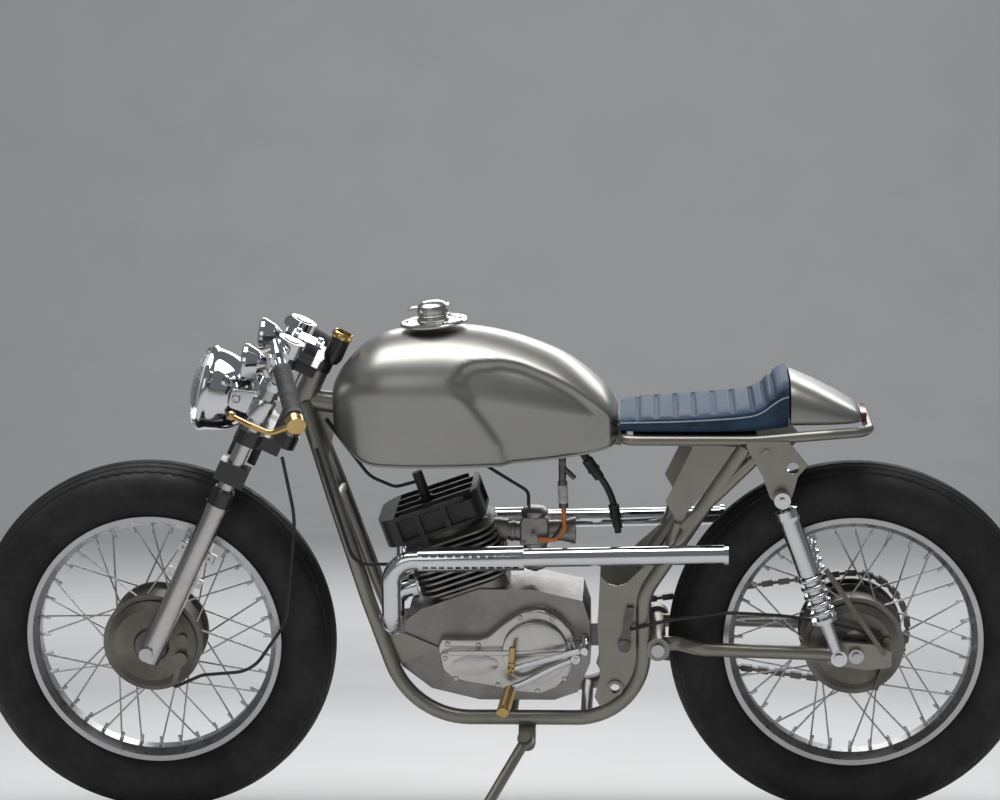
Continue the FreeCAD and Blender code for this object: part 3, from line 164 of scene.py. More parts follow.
def make_materials(tint):
    """Every finish used, by name."""
    made = {
        "tank": metal("tank_pewter", tint, 0.36, 0.05, 0.06, 30, 0.02, 0.85, 0.25),
        "frame": metal("frame_pewter", (0.27, 0.26, 0.225), 0.36, 0.08, 0.12, 50, 0.03, 0.85, 0.15),
        "chrome": metal("chrome", (0.66, 0.67, 0.69), 0.07, 0.05, 0.05, 40, 0.01),
        "polished": metal("polished_alloy", (0.55, 0.54, 0.52), 0.22, 0.1, 0.15, 60, 0.03),
        "satin": metal("satin_alloy", (0.50, 0.50, 0.50), 0.32, 0.1, 0.12, 60, 0.04),
        "rim": metal("rim_alloy", (0.50, 0.50, 0.51), 0.3, 0.1, 0.1, 60, 0.03),
        "cast": metal("cast_alloy", (0.33, 0.32, 0.30), 0.45, 0.14, 0.3, 90, 0.25),
        "case": metal("case_alloy", (0.27, 0.26, 0.25), 0.34, 0.14, 0.25, 90, 0.12),
        "hub": metal("hub_bronze", (0.19, 0.175, 0.155), 0.42, 0.14, 0.35, 90, 0.15),
        "steel": metal("zinc_steel", (0.55, 0.55, 0.55), 0.28, 0.12, 0.2, 80, 0.04),
        "dark_steel": metal("dark_steel", (0.16, 0.15, 0.14), 0.35, 0.15, 0.4, 120, 0.1),
        "brass": metal("brass", (0.62, 0.42, 0.18), 0.2, 0.12, 0.25, 80, 0.04),
        "enamel": metal("black_enamel", (0.018, 0.018, 0.018), 0.32, 0.1, 0.2, 80, 0.05, 0.0, 0.3),
        "black_fin": metal("black_fin", (0.014, 0.014, 0.014), 0.42, 0.1, 0.3, 90, 0.2, 0.0),
    }
    rubber = Shader("tyre_rubber")
    rubber.surface(Base_Color=rubber.ramp(rubber.noise(14, 6), (0.008, 0.008, 0.008), (0.022, 0.021, 0.02)),
                   Roughness=rubber.span(rubber.noise(60), 0.55, 0.75), Specular_IOR_Level=0.35)
    made["tyre"] = rubber.bump(rubber.noise(900, 2), 0.12, 0.0004).material
    plain = Shader("black_rubber")
    plain.surface(Base_Color=plain.ramp(plain.noise(50), (0.010, 0.010, 0.010), (0.022, 0.022, 0.022)),
                  Roughness=plain.span(plain.noise(90), 0.42, 0.62))
    made["rubber"] = plain.bump(plain.noise(1200, 2), 0.1, 0.0003).material
    grip = Shader("grip_rubber")
    grip.surface(Base_Color=grip.ramp(grip.noise(70), (0.03, 0.03, 0.032), (0.065, 0.065, 0.068)),
                 Roughness=grip.span(grip.noise(120), 0.5, 0.7))
    made["grip"] = grip.bump(grip.cells(700), 0.3, 0.0006).material
    plastic = Shader("black_plastic")
    plastic.surface(Base_Color=plastic.ramp(plastic.noise(30), (0.012, 0.012, 0.012),
                                            (0.024, 0.024, 0.024)),
                    Roughness=plastic.span(plastic.noise(80), 0.4, 0.55))
    made["plastic"] = plastic.bump(plastic.noise(900, 2), 0.08, 0.0003).material
    made["leather"] = leather("blue_leather")
    made["thread"] = thread("light_piping")
    made["lens"] = lens("lamp_lens")
    made["red"] = red_lens("tail_lens")
    made["orange"] = hose("orange_hose", (0.75, 0.22, 0.03))
    made["clear"] = hose("clear_filter", (0.55, 0.56, 0.52))
    return made


def leather(name):
    """Worn blue hide: pores, creases, and paler places on convex edges, partly worn leather and partly painted
    highlight.
    """
    s = Shader(name)
    pores = s.cells(1100)
    creases = s.noise(90, 8, 0.65)
    worn = s.noise(22, 6, 0.7)
    base = s.ramp(worn, (0.008, 0.022, 0.050), (0.030, 0.066, 0.118), (0.36, 0.68))
    # Paler blue on convex edges along crease crests: partly worn leather, partly a painted highlight where those
    # edges meet the light.
    rubbed_and_highlight = s.mix(s.math("MULTIPLY", s.edges(), s.span(creases, 0.0, 0.8)), base, (0.09, 0.14, 0.20))
    s.surface(Base_Color=rubbed_and_highlight, Roughness=s.span(worn, 0.48, 0.68), Specular_IOR_Level=0.3)
    return s.bump(s.math("ADD", s.math("MULTIPLY", pores, 0.5), creases), 0.35, 0.0008).material


def thread(name):
    s = Shader(name)
    s.surface(Base_Color=s.ramp(s.noise(300), (0.22, 0.27, 0.32), (0.42, 0.46, 0.50)), Roughness=0.7)
    return s.bump(s.noise(1500, 2), 0.3, 0.0004).material


def lens(name):
    """Clear glass, pressed with fine flutes."""
    s = Shader(name)
    s.surface(Base_Color=(0.92, 0.94, 0.95), Roughness=s.span(s.noise(30), 0.02, 0.06),
              Transmission_Weight=1.0,
              IOR=1.46)
    wave = s.nodes.new("ShaderNodeTexWave")
    s.put(wave.inputs["Vector"], s.coords)
    wave.bands_direction = "Y"
    wave.inputs["Scale"].default_value = 28.0
    return s.bump(wave.outputs["Fac"], 0.25, 0.002).material


def red_lens(name):
    s = Shader(name)
    s.surface(Base_Color=s.ramp(s.noise(90), (0.07, 0.004, 0.003), (0.15, 0.008, 0.006)), Roughness=0.12,
              Coat_Weight=0.6)
    return s.bump(s.cells(420), 0.4, 0.0008).material


def hose(name, colour):
    s = Shader(name)
    s.surface(Base_Color=s.ramp(s.noise(80), tuple(c * 0.7 for c in colour), colour), Roughness=0.25,
              Coat_Weight=0.3)
    return s.bump(s.noise(500, 2), 0.1, 0.0004).material


MATERIALS = {}
SLOTS = {                       # CAD nodes that stay, with their finishes
    "frame": "frame", "swingarm": "frame", "side_stand": "frame", "shocks": "chrome", "rear_axle": "steel",
    "rear_brake_plate": "hub", "front_brake_plate": "hub", "crankcase": "case", "engine_covers": "polished",
    "cylinder": "cast", "cylinder_head": "black_fin", "carburettor": "cast", "exhausts": "chrome",
    "fuel_cap": "chrome", "seat_pan": "plastic", "tail_light": "red", "chain": "dark_steel",
    "foot_levers": "chrome", "fork_yokes": "enamel",
    "fork_legs": "polished", "fork_brace": "enamel", "front_axle": "steel",
    "headlight": "chrome", "headlight_lens": "lens", "clip_ons": "chrome", "grips": "grip",
    "hand_levers": "brass", "gauge": "brass", "bar_clamp": "chrome", "marker_lamps": "chrome",
    "front_tyre": "tyre", "rear_tyre": "tyre", "front_rim": "rim", "rear_rim": "rim", "front_hub": "hub",
    "rear_hub": "hub", "front_spokes": "steel", "rear_spokes": "steel", "rear_sprocket": "dark_steel",
    "tank": "tank", "tail_cowl": "tank", "seat_pad": "leather", "cables": "rubber", "front_cables": "rubber",
    "fittings": "dark_steel",
}


# ---------------------------------------------------------------- modelling helpers
def clear_selection():
    if bpy.context.object and bpy.context.object.mode != "OBJECT":
        bpy.ops.object.mode_set(mode="OBJECT")
    bpy.ops.object.select_all(action="DESELECT")


def started(name, add, **options):
    """Adds a primitive and gives it its name."""
    clear_selection()
    add(**options)
    piece = bpy.context.object
    piece.name = name
    piece.data.name = name
    return piece


def only(piece):
    clear_selection()
    piece.select_set(True)
    bpy.context.view_layer.objects.active = piece
    return piece


def edit_all(piece):
    only(piece)
    bpy.ops.object.mode_set(mode="EDIT")
    bpy.ops.mesh.select_all(action="SELECT")


def close_edit(merge=0.01):
    bpy.ops.mesh.select_all(action="SELECT")
    bpy.ops.mesh.remove_doubles(threshold=merge)
    bpy.ops.mesh.normals_make_consistent(inside=False)
    bpy.ops.object.mode_set(mode="OBJECT")


def smooth(piece, degrees=35):
    only(piece)
    bpy.ops.object.shade_smooth_by_angle(angle=math.radians(degrees))


def apply_modifier(piece, kind, **values):
    only(piece)
    modifier = piece.modifiers.new(kind.title(), kind)
    for key, value in values.items():
        setattr(modifier, key, value)
    bpy.ops.object.modifier_apply(modifier=modifier.name)


def joined(name, pieces):
    clear_selection()
    for piece in pieces:
        piece.select_set(True)
    bpy.context.view_layer.objects.active = pieces[0]
    if len(pieces) > 1:
        bpy.ops.object.join()
    whole = bpy.context.object
    whole.name = name
    whole.data.name = name
    return whole


def loop(name, points):
    """A closed ring of edges through the points, from a circle moved into shape."""
    piece = started(name, bpy.ops.mesh.primitive_circle_add, vertices=len(points), radius=1.0)
    for vertex, point in zip(piece.data.vertices, points):
        vertex.co = Vector(point)
    return piece


def spun(name, outline, centre, axis=(0, 1, 0), steps=96, degrees=35):
    """Spins an outline of (along the axis, radius) points all the way round."""
    centre, axis = Vector(centre), Vector(axis).normalized()
    side = axis.orthogonal().normalized()
    piece = loop(name, [centre + axis * along + side * radius for along, radius in outline])
    edit_all(piece)
    bpy.ops.mesh.spin(steps=steps, angle=2 * math.pi, center=centre, axis=axis)
    close_edit()
    smooth(piece, degrees)
    return piece


def skinned(name, sections, closed_ends=True, levels=0, degrees=60):
    """Bridges rings of points, one after another, and closes the two ends."""
    rings = [loop(name, section) for section in sections]
    piece = joined(name, rings)
    edit_all(piece)
    bpy.ops.mesh.bridge_edge_loops()
    if closed_ends:
        bpy.ops.mesh.select_all(action="DESELECT")
        bpy.ops.mesh.select_mode(type="EDGE")
        bpy.ops.mesh.select_non_manifold(extend=False, use_wire=False, use_boundary=True,
                                         use_multi_face=False, use_non_contiguous=False, use_verts=False)
        bpy.ops.mesh.edge_face_add()
        bpy.ops.mesh.select_mode(type="VERT")
    close_edit()
    if levels:
        apply_modifier(piece, "SUBSURF", levels=levels)
    smooth(piece, degrees)
    return piece


def tube(name, points, radius, sides=12, resolution=8):
    """A round tube along a smooth curve through the points."""
    clear_selection()
    bpy.ops.curve.primitive_bezier_curve_add()
    piece = bpy.context.object
    piece.name = name
    curve = piece.data
    curve.dimensions = "3D"
    spline = curve.splines[0]
    spline.bezier_points.add(len(points) - 2)
    for knot, point in zip(spline.bezier_points, points):
        knot.co = Vector(point)
        knot.handle_left_type = knot.handle_right_type = "AUTO"
    curve.bevel_depth = radius
    curve.bevel_resolution = max(1, sides // 4)
    curve.resolution_u = resolution
    curve.use_fill_caps = True
    bpy.ops.object.convert(target="MESH")
    piece = bpy.context.object
    piece.name = piece.data.name = name
    smooth(piece, 40)
    return piece


def slab(name, outline, y_from, y_to, bevel=2.0, segments=3):
    """A plate from an (x, z) outline, pushed along Y, with its edges rounded."""
    piece = loop(name, [(x, y_from, z) for x, z in outline])
    edit_all(piece)
    bpy.ops.mesh.edge_face_add()
    bpy.ops.mesh.extrude_region_move(TRANSFORM_OT_translate={"value": (0, y_to - y_from, 0)})
    close_edit()
    if bevel:
        apply_modifier(piece, "BEVEL", width=bevel, segments=segments, limit_method="ANGLE")
    smooth(piece, 40)
    return piece


def oval(x, z, half_x, half_z, turn=0.0, count=48):
    """Points round an ellipse in the side view."""
    t = math.radians(turn)
    return [(x + half_x * math.cos(a) * math.cos(t) - half_z * math.sin(a) * math.sin(t),
             z + half_x * math.cos(a) * math.sin(t) + half_z * math.sin(a) * math.cos(t))
            for a in (2 * math.pi * step / count for step in range(count))]


def rounded(points, radius, steps=5):
    """Rounds the corners of an (x, z) outline."""
    made = []
    for index, corner in enumerate(points):
        corner = Vector(corner)
        back = Vector(points[index - 1]) - corner
        ahead = Vector(points[(index + 1) % len(points)]) - corner
        reach = min(radius, back.length * 0.45, ahead.length * 0.45)
        start, end = corner + back.normalized() * reach, corner + ahead.normalized() * reach
        for step in range(steps + 1):
            t = step / steps
            made.append(tuple(start * (1 - t) ** 2 + corner * 2 * t * (1 - t) + end * t * t))
    return made


def bolt(name, centre, axis, radius=5.0, height=4.0):
    """A domed hexagon-socket screw head."""
    outline = [(-1.0, 0.05), (-1.0, radius), (height * 0.6, radius), (height, radius * 0.7),
               (height, radius * 0.42), (height * 0.4, radius * 0.38), (height * 0.4, 0.05)]
    return spun(name, outline, centre, axis, steps=18, degrees=30)


def flipped(piece, name):
    """The other side's copy, with its own mesh."""
    only(piece)
    bpy.ops.object.duplicate()
    copy = bpy.context.object
    copy.name = copy.data.name = name
    bpy.ops.transform.mirror(constraint_axis=(False, True, False), center_override=(0, 0, 0))
    bpy.ops.object.transform_apply(location=True, rotation=True, scale=True)
    edit_all(copy)
    close_edit(0.0001)
    return copy


def finished(piece, body, finish, replaces=()):
    """Parks the piece, gives it its finish, and tells the frame what it rides on."""
    only(piece)
    piece.matrix_world = PARK @ piece.matrix_world
    bpy.context.view_layer.update()
    bpy.ops.object.transform_apply(location=True, rotation=True, scale=True)
    if not piece.data.materials:
        piece.data.materials.append(MATERIALS[finish])
    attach(piece, body)
    if replaces:
        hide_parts(*replaces)
    return piece


# ---------------------------------------------------------------- settings
class RacerSettings(bpy.types.PropertyGroup):
    """Sizes and colours a user would change."""
    tank_colour: bpy.props.FloatVectorProperty(
        name="Tank colour", description="Paint of the tank and tail", subtype="COLOR", size=3,
        default=(0.31, 0.305, 0.285), min=0.0, max=1.0)
    tread_blocks: bpy.props.IntProperty(
        name="Tread blocks", description="Blocks round one shoulder of a tyre", default=96, min=24, max=160)


# ---------------------------------------------------------------- pieces
class RACER_OT_finishes(bpy.types.Operator):
    """Makes the materials and puts them on the carried-over nodes"""
    bl_idname = "racer.finishes"
    bl_label = "Finishes"

    def execute(self, context):
        MATERIALS.update(make_materials(tuple(context.scene.racer.tank_colour)))
        for name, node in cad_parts.items():
            node.data.materials.clear()
            node.data.materials.append(MATERIALS[SLOTS[name]])
            smooth(node, 30)
        return {"FINISHED"}


def tyre_profile():
    """One tyre's section: a rounded crown with ribs, shoulders and beads."""
    right = [(26.6, 236.4), (26.6, 245.0), (32.0, 250.0), (40.0, 256.0), (48.0, 266.0), (53.0, 277.0),
             (55.6, 289.0), (54.6, 300.0), (51.4, 311.0), (46.0, 321.0)]
    ribs = [(41.0, 327.6), (36.0, 331.0), (34.0, 329.4), (32.6, 333.6), (25.0, 338.2), (23.2, 336.0),
            (21.6, 339.8),
            (13.0, 343.4), (11.4, 341.2), (9.8, 344.4), (2.0, 345.8)]
    half = right + ribs
    return half + [(-y, r) for y, r in reversed(half)]


class RACER_OT_tyres(bpy.types.Operator):
    """Tyres with ribbed crowns and saw-toothed shoulders"""
    bl_idname = "racer.tyres"
    bl_label = "Tyres"

    def execute(self, context):
        count = context.scene.racer.tread_blocks
        for name, centre, body in (("front_tyre", FRONT, "front_wheel"), ("rear_tyre", REAR, "rear_wheel")):
            piece = spun(name + "_tread", tyre_profile(), centre, steps=count * 2, degrees=25)
            middle = Vector(centre)
            for vertex in piece.data.vertices:
                arm = Vector((vertex.co.x - middle.x, 0, vertex.co.z - middle.z))
                radius, side = arm.length, abs(vertex.co.y)
                if 30 < side < 44 and radius > 322:
                    turn = math.atan2(arm.z, arm.x) / (2 * math.pi) * count
                    if int(round(turn * 2)) % 2:
                        vertex.co -= arm.normalized() * (3.4 if side > 35 else 1.6)
            finished(piece, body, "tyre", (name,))
        return {"FINISHED"}


TANK_ROWS = (       # x, bottom, widest height, top, half width at the bottom, half width
    (441.0, 752, 780, 789, 30, 40), (444.0, 741, 784, 803, 54, 66), (470.0, 728, 792, 842, 80, 98),
    (540.0, 716, 804, 896, 94, 122), (640.0, 707, 822, 934, 100, 133), (740.0, 703, 838, 949, 102, 136),
    (850.0, 702, 842, 940, 98, 131), (908.0, 707, 838, 916, 82, 112), (948.0, 738, 824, 876, 54, 80),
    (966.0, 764, 814, 846, 32, 50), (969.0, 780, 810, 828, 16, 28),
)
SEAM_OUT, SEAM_HIGH = 3.0, 4.0
KNEE_DEPTH, KNEE_FADE = 17.0, 20.0
KNEE = ((744, 864), (728, 894), (704, 906), (650, 908), (612, 900), (560, 878), (515, 853), (480, 826),
        (452, 798), (440, 640), (640, 640), (664, 742), (696, 792))


def tank_ring(x, bottom, wide, top, half_bottom, half):
    """Points round one section: flat floor, seam along the foot, side leaning out to the crease, dome."""
    side = [(0, bottom), (half_bottom * 0.5, bottom), (half_bottom - 4, bottom),
            (half_bottom + SEAM_OUT, bottom),
            (half_bottom + SEAM_OUT, bottom + SEAM_HIGH), (half_bottom, bottom + SEAM_HIGH + 1)]
    for step in range(1, 15):
        share = step / 14
        side.append((half_bottom + (half - half_bottom) * share,
                     bottom + SEAM_HIGH + 1 + (wide - bottom - SEAM_HIGH - 1) * share))
    for step in range(1, 25):
        angle = math.pi / 2 * step / 24
        side.append((half * math.cos(angle) ** 0.94, wide + (top - wide) * math.sin(angle) ** 0.96))
    side[-1] = (0, top)
    return [(x, y, z) for y, z in side] + [(x, -y, z) for y, z in side[-2:0:-1]]


def knee_depth(x, z):
    """How far the knee recess sinks, as a share, zero outside its outline."""
    inside, near = False, 1e9
    for (x1, z1), (x2, z2) in zip(KNEE, KNEE[1:] + KNEE[:1]):
        if (z1 > z) != (z2 > z) and x < (x2 - x1) * (z - z1) / (z2 - z1) + x1:
            inside = not inside
        dx, dz = x2 - x1, z2 - z1
        share = max(0.0, min(1.0, ((x - x1) * dx + (z - z1) * dz) / (dx * dx + dz * dz)))
        near = min(near, math.hypot(x - x1 - share * dx, z - z1 - share * dz))
    if not inside:
        return 0.0
    share = min(1.0, near / KNEE_FADE)
    return share * share * (3 - 2 * share)


class RACER_OT_tank(bpy.types.Operator):
    """Fuel tank with knee recesses and a seam along its foot"""
    bl_idname = "racer.tank"
    bl_label = "Tank"

    def execute(self, context):
        rows = smooth_rows(TANK_ROWS, 110)
        piece = skinned("tank_shell", [tank_ring(*row) for row in rows], degrees=32)
        for vertex in piece.data.vertices:
            x, y, z = vertex.co
            excess = max(0.0, min(1.0, (abs(y) - 62) / 30))
            vertex.co.y = math.copysign(abs(y) - KNEE_DEPTH * excess * knee_depth(x, z), y)
        finished(piece, "machine", "tank", ("tank",))
        return {"FINISHED"}


def smooth_rows(rows, count):
    """Evenly spread rows through the table's rows, on a smooth curve."""
    made = []
    for step in range(count):
        place = step / (count - 1) * (len(rows) - 1)
        index = min(int(place), len(rows) - 2)
        t = place - index
        before, a = rows[max(index - 1, 0)], rows[index]
        b, after = rows[index + 1], rows[min(index + 2, len(rows) - 1)]
        made.append(tuple(
            0.5 * ((2 * q) + (r - p) * t + (2 * p - 5 * q + 4 * r - s) * t * t + (3 * q - p - 3 * r + s) * t ** 3)
            for p, q, r, s in zip(before, a, b, after)))
    return made


SEAT_ROWS = (       # x, base, crown, half width
    (435.5, 766.0, 793, 90), (400, 765.4, 798, 100), (343, 765.4, 801, 104), (288, 765.4, 805, 105),
    (232, 765.6, 810, 105), (195, 766.5, 816, 104), (176, 767.6, 826, 103), (160, 768.2, 842, 101),
    (143, 769.4, 857, 98), (129, 770.8, 862, 95),
)
PLEATS = (403, 369, 334, 300, 264, 229, 194, 172, 156)


def seat_ring(x, base, crown, half, count=56):
    """Points round one cross section of the seat, starting at the bottom's middle."""
    ring = []
    wall = base + (crown - base) * 0.62
    for step in range(count):
        angle = 2 * math.pi * step / count - math.pi / 2
        c, s = math.cos(angle), math.sin(angle)
        y = half * math.copysign(abs(c) ** 0.32, c)
        if s < 0:
            z = base + (wall - base) * (1 - abs(s) ** 0.5) * 0.9
        else:
            z = wall + (crown - wall) * abs(s) ** 0.42
        ring.append((x, y, z))
    return ring


class RACER_OT_seat(bpy.types.Operator):
    """Pleated leather pad"""
    bl_idname = "racer.seat"
    bl_label = "Seat pad"

    def execute(self, context):
        rows = smooth_rows(SEAT_ROWS, 150)
        piece = skinned("seat_cover", [seat_ring(*row) for row in rows], degrees=70)
        for vertex in piece.data.vertices:
            x, y, z = vertex.co
            near = min(abs(x - place) for place in PLEATS)
            crest = max(0.0, min(1.0, (z - 780) / 8.0))
            across = max(0.0, min(1.0, (100 - abs(y)) / 8.0))
            vertex.co.z -= 7.5 * math.exp(-((near / 3.4) ** 2)) * crest * across
        pad = finished(piece, "machine", "leather", ("seat_pad",))
        return {"FINISHED"}


COWL_ROWS = (       # x, base, crown, half width
    (124.5, 776.2, 861, 96), (110, 776.2, 856, 95), (76, 776.2, 841, 91), (45, 776.2, 825, 84),
    (20, 776.2, 811, 74), (4, 776.2, 801, 63), (-4.5, 776.2, 793, 50),
)


class RACER_OT_cowl(bpy.types.Operator):
    """Painted tail behind the seat"""
    bl_idname = "racer.cowl"
    bl_label = "Tail cowl"

    def execute(self, context):
        rows = smooth_rows(COWL_ROWS, 40)
        rings = []
        for x, base, crown, half in rows:
            ring = []
            wall = base + (crown - base) * 0.30
            for step in range(56):
                angle = 2 * math.pi * step / 56 - math.pi / 2
                c, s = math.cos(angle), math.sin(angle)
                if s < 0:
                    ring.append((x, half * math.copysign(abs(c) ** 0.25, c),
                                 base + (wall - base) * (1 - abs(s) ** 0.5)))
                else:
                    ring.append((x, half * math.copysign(abs(c) ** 0.62, c),
                                 wall + (crown - wall) * abs(s) ** 0.8))
            rings.append(ring)
        piece = skinned("cowl_shell", rings, degrees=50)
        finished(piece, "machine", "tank", ("tail_cowl",))
        return {"FINISHED"}


COVER = ((776, 352), (769, 316), (752, 299), (723, 289), (665, 280), (631, 271), (585, 267), (553, 279),
         (529, 302), (517, 350), (525, 389), (547, 415), (583, 431), (621, 425), (655, 402), (690,
             372), (772, 372))
COVER_LOWER = ((772, 345), (766, 316), (750, 301), (722, 292), (665, 283), (631, 274), (585, 270),
               (556, 282),
               (533, 304), (522, 345), (560, 351), (768, 351))
COVER_INNER = 74.4


class RACER_OT_covers(bpy.types.Operator):
    """Polished engine covers with a bright ridge and a bare oval badge"""
    bl_idname = "racer.covers"
    bl_label = "Engine covers"

    def execute(self, context):
        base = slab("cover_base", rounded(COVER, 10), COVER_INNER, 100, 5, 4)
        lower = slab("cover_lower", rounded(COVER_LOWER, 8), 98, 112, 4, 4)
        drum = spun("cover_drum",
                    [(98, 0.05), (98, 62), (110, 62), (114, 60), (115.5, 56), (116, 40), (116, 0.05)],
                    (594, 0, 351), steps=96)
        ridge = slab("cover_ridge",
                     rounded(((756, 346), (536, 346), (530, 352), (536, 358), (756, 356)), 3),
                     98, 117.6, 2.5, 3)
        frame_ring = slab("badge_ring", oval(707, 326, 45, 20, -4), 108, 113.6, 1.2, 2)
        plate = slab("badge_plate", oval(707, 326, 41, 16.5, -4), 108, 114.6, 0.8, 2)
        pieces = [base, lower, drum, ridge, frame_ring, plate]
        for index, (x,
                    z) in enumerate(((762, 340), (742, 300), (664, 288), (590, 276), (540, 300), (528, 372),
                                        (562, 414), (622, 416), (700, 362), (758, 364))):
            pieces.append(bolt("cover_screw_%d" % index, (x, 99.5 if z > 355 else 111.5, z), (0, 1, 0), 5,
                               3.4))
        left = joined("left_cover", pieces)
        right = flipped(left, "right_cover")
        finished(left, "machine", "polished", ("engine_covers",))
        finished(right, "machine", "polished", ("engine_covers",))
        return {"FINISHED"}


LAMP, LAMP_AXIS = (1211.0, 0.0, 833.0), (math.cos(math.radians(13)), 0.0, math.sin(math.radians(13)))
BUCKET_RADIUS, BUCKET_DEPTH = 78.0, 104.0
LEG_SIDE, STANCHION = 92.0, 16.0


def lamp_bucket():
    """Rounded bucket with a rolled rim, hung by two ears from rings on the stanchions."""
    outside = [(0, 75.2), (0, 79.5), (-2, 81.2), (-7, 81.8), (-11, 81), (-14, 78.6)]
    for step in range(1, 19):
        along = 14 + (BUCKET_DEPTH - 14) * step / 18
        outside.append((-along,
                        max(0.05, BUCKET_RADIUS * math.sqrt(max(0.0, 1 - (along / BUCKET_DEPTH) ** 2.3)))))
    inside = [(-98, 0.05), (-84, 42), (-60, 60), (-30, 70), (-6, 74.6)]
    pieces = [spun("bucket_shell", outside + inside, LAMP, LAMP_AXIS, 96, 40)]
    for side in (-1, 1):
        y = side * LEG_SIDE
        foot = fork_point(500, 0, y)
        pieces.append(spun("ear_ring_%d" % side,
                           [(0, STANCHION + 0.6), (0, STANCHION + 5), (2, STANCHION + 6),
                                                  (38, STANCHION + 6), (40, STANCHION + 5), (40,
                                                      STANCHION + 0.6)],
                           foot, LEG_UP, 48, 40))
        pieces.append(slab("ear_plate_%d" % side,
                           rounded(((1100, 790), (1082, 838), (1150, 846), (1158, 812)), 8),
                           y - side * 22, y - side * 17, 1.2, 2))
        pieces.append(bolt("ear_screw_%d" % side, (1142, y - side * 17, 828), (0, side, 0), 8, 5))
    return joined("bucket", pieces)


class RACER_OT_lamp(bpy.types.Operator):
    """Chrome headlight bucket, its reflector, bulb and fluted glass"""
    bl_idname = "racer.lamp"
    bl_label = "Headlight"

    def execute(self, context):
        finished(lamp_bucket(), "front_end", "chrome", ("headlight",))
        glass = spun("lamp_glass", [(-1.5, 0.05), (-1.5, 74.4), (7.5, 74.4), (13, 65), (18, 50), (21.5, 32),
                                    (23.6, 12), (23.8, 0.05)], LAMP, LAMP_AXIS, 96, 60)
        finished(glass, "front_end", "lens", ("headlight_lens",))
        mirror = spun("lamp_reflector",
                      [(-2.5, 74.2), (-2.5, 73), (-20, 63), (-40, 44), (-52, 24), (-55, 0.05),
                                         (-57, 0.05), (-54, 26), (-41, 46), (-20,
                                             65)], LAMP, LAMP_AXIS, 72, 60)
        finished(mirror, "front_end", "chrome", ())
        bulb = spun("lamp_bulb",
                    [(-56, 0.05), (-56, 9), (-40, 9), (-34, 7), (-22, 7), (-16, 4), (-15, 0.05)],
                    LAMP, LAMP_AXIS, 32, 40)
        finished(bulb, "front_end", "brass", ())
        return {"FINISHED"}


CAP, CAP_TILT = Vector((780.0, 0.0, 954.5)), math.radians(5)
CAP_UP = Vector((math.sin(CAP_TILT), 0, math.cos(CAP_TILT)))
CAP_AHEAD = Vector((math.cos(CAP_TILT), 0, -math.sin(CAP_TILT)))


class RACER_OT_fuel_cap(bpy.types.Operator):
    """Screwed ring and a hinged filler cap with a snap lever"""
    bl_idname = "racer.fuel_cap"
    bl_label = "Fuel cap"

    def execute(self, context):
        ring = [(0.4, 30), (0.4, 62.6), (3, 62.9), (5, 61.5), (6.2, 58.5), (6.2, 42), (5, 40), (5, 34),
                (6, 30)]
        body = [(4, 0.05), (4, 31), (8, 31), (9, 29), (13, 27), (16, 28.6), (30, 28.8), (34, 27.6),
                (38, 23),
                (41, 15), (42, 0.05)]
        pieces = [spun("cap_ring", ring, CAP, CAP_UP, 96, 30), spun("cap_body", body, CAP, CAP_UP, 72, 30)]
        for step in range(6):
            turn = math.radians(60 * step)
            spot = CAP + CAP_AHEAD * (50 * math.cos(turn)) + Vector((0, 50 * math.sin(turn),
                                                                     0)) + CAP_UP * 6
            pieces.append(bolt("cap_screw_%d" % step, spot, CAP_UP, 4, 2.6))
        lever = slab("cap_lever",
                     rounded(((786, 978), (826, 974), (829, 979), (822, 984), (786, 988)), 3), -9, 9,
                     2.0, 3)
        hinge = spun("cap_hinge", [(-13, 0.05), (-13, 4), (13, 4), (13, 0.05)],
                     CAP + CAP_UP * 30 - CAP_AHEAD * 28,
                     (0, 1, 0), 20, 30)
        finished(joined("filler_cap", pieces + [lever, hinge]), "machine", "polished", ("fuel_cap",))
        return {"FINISHED"}


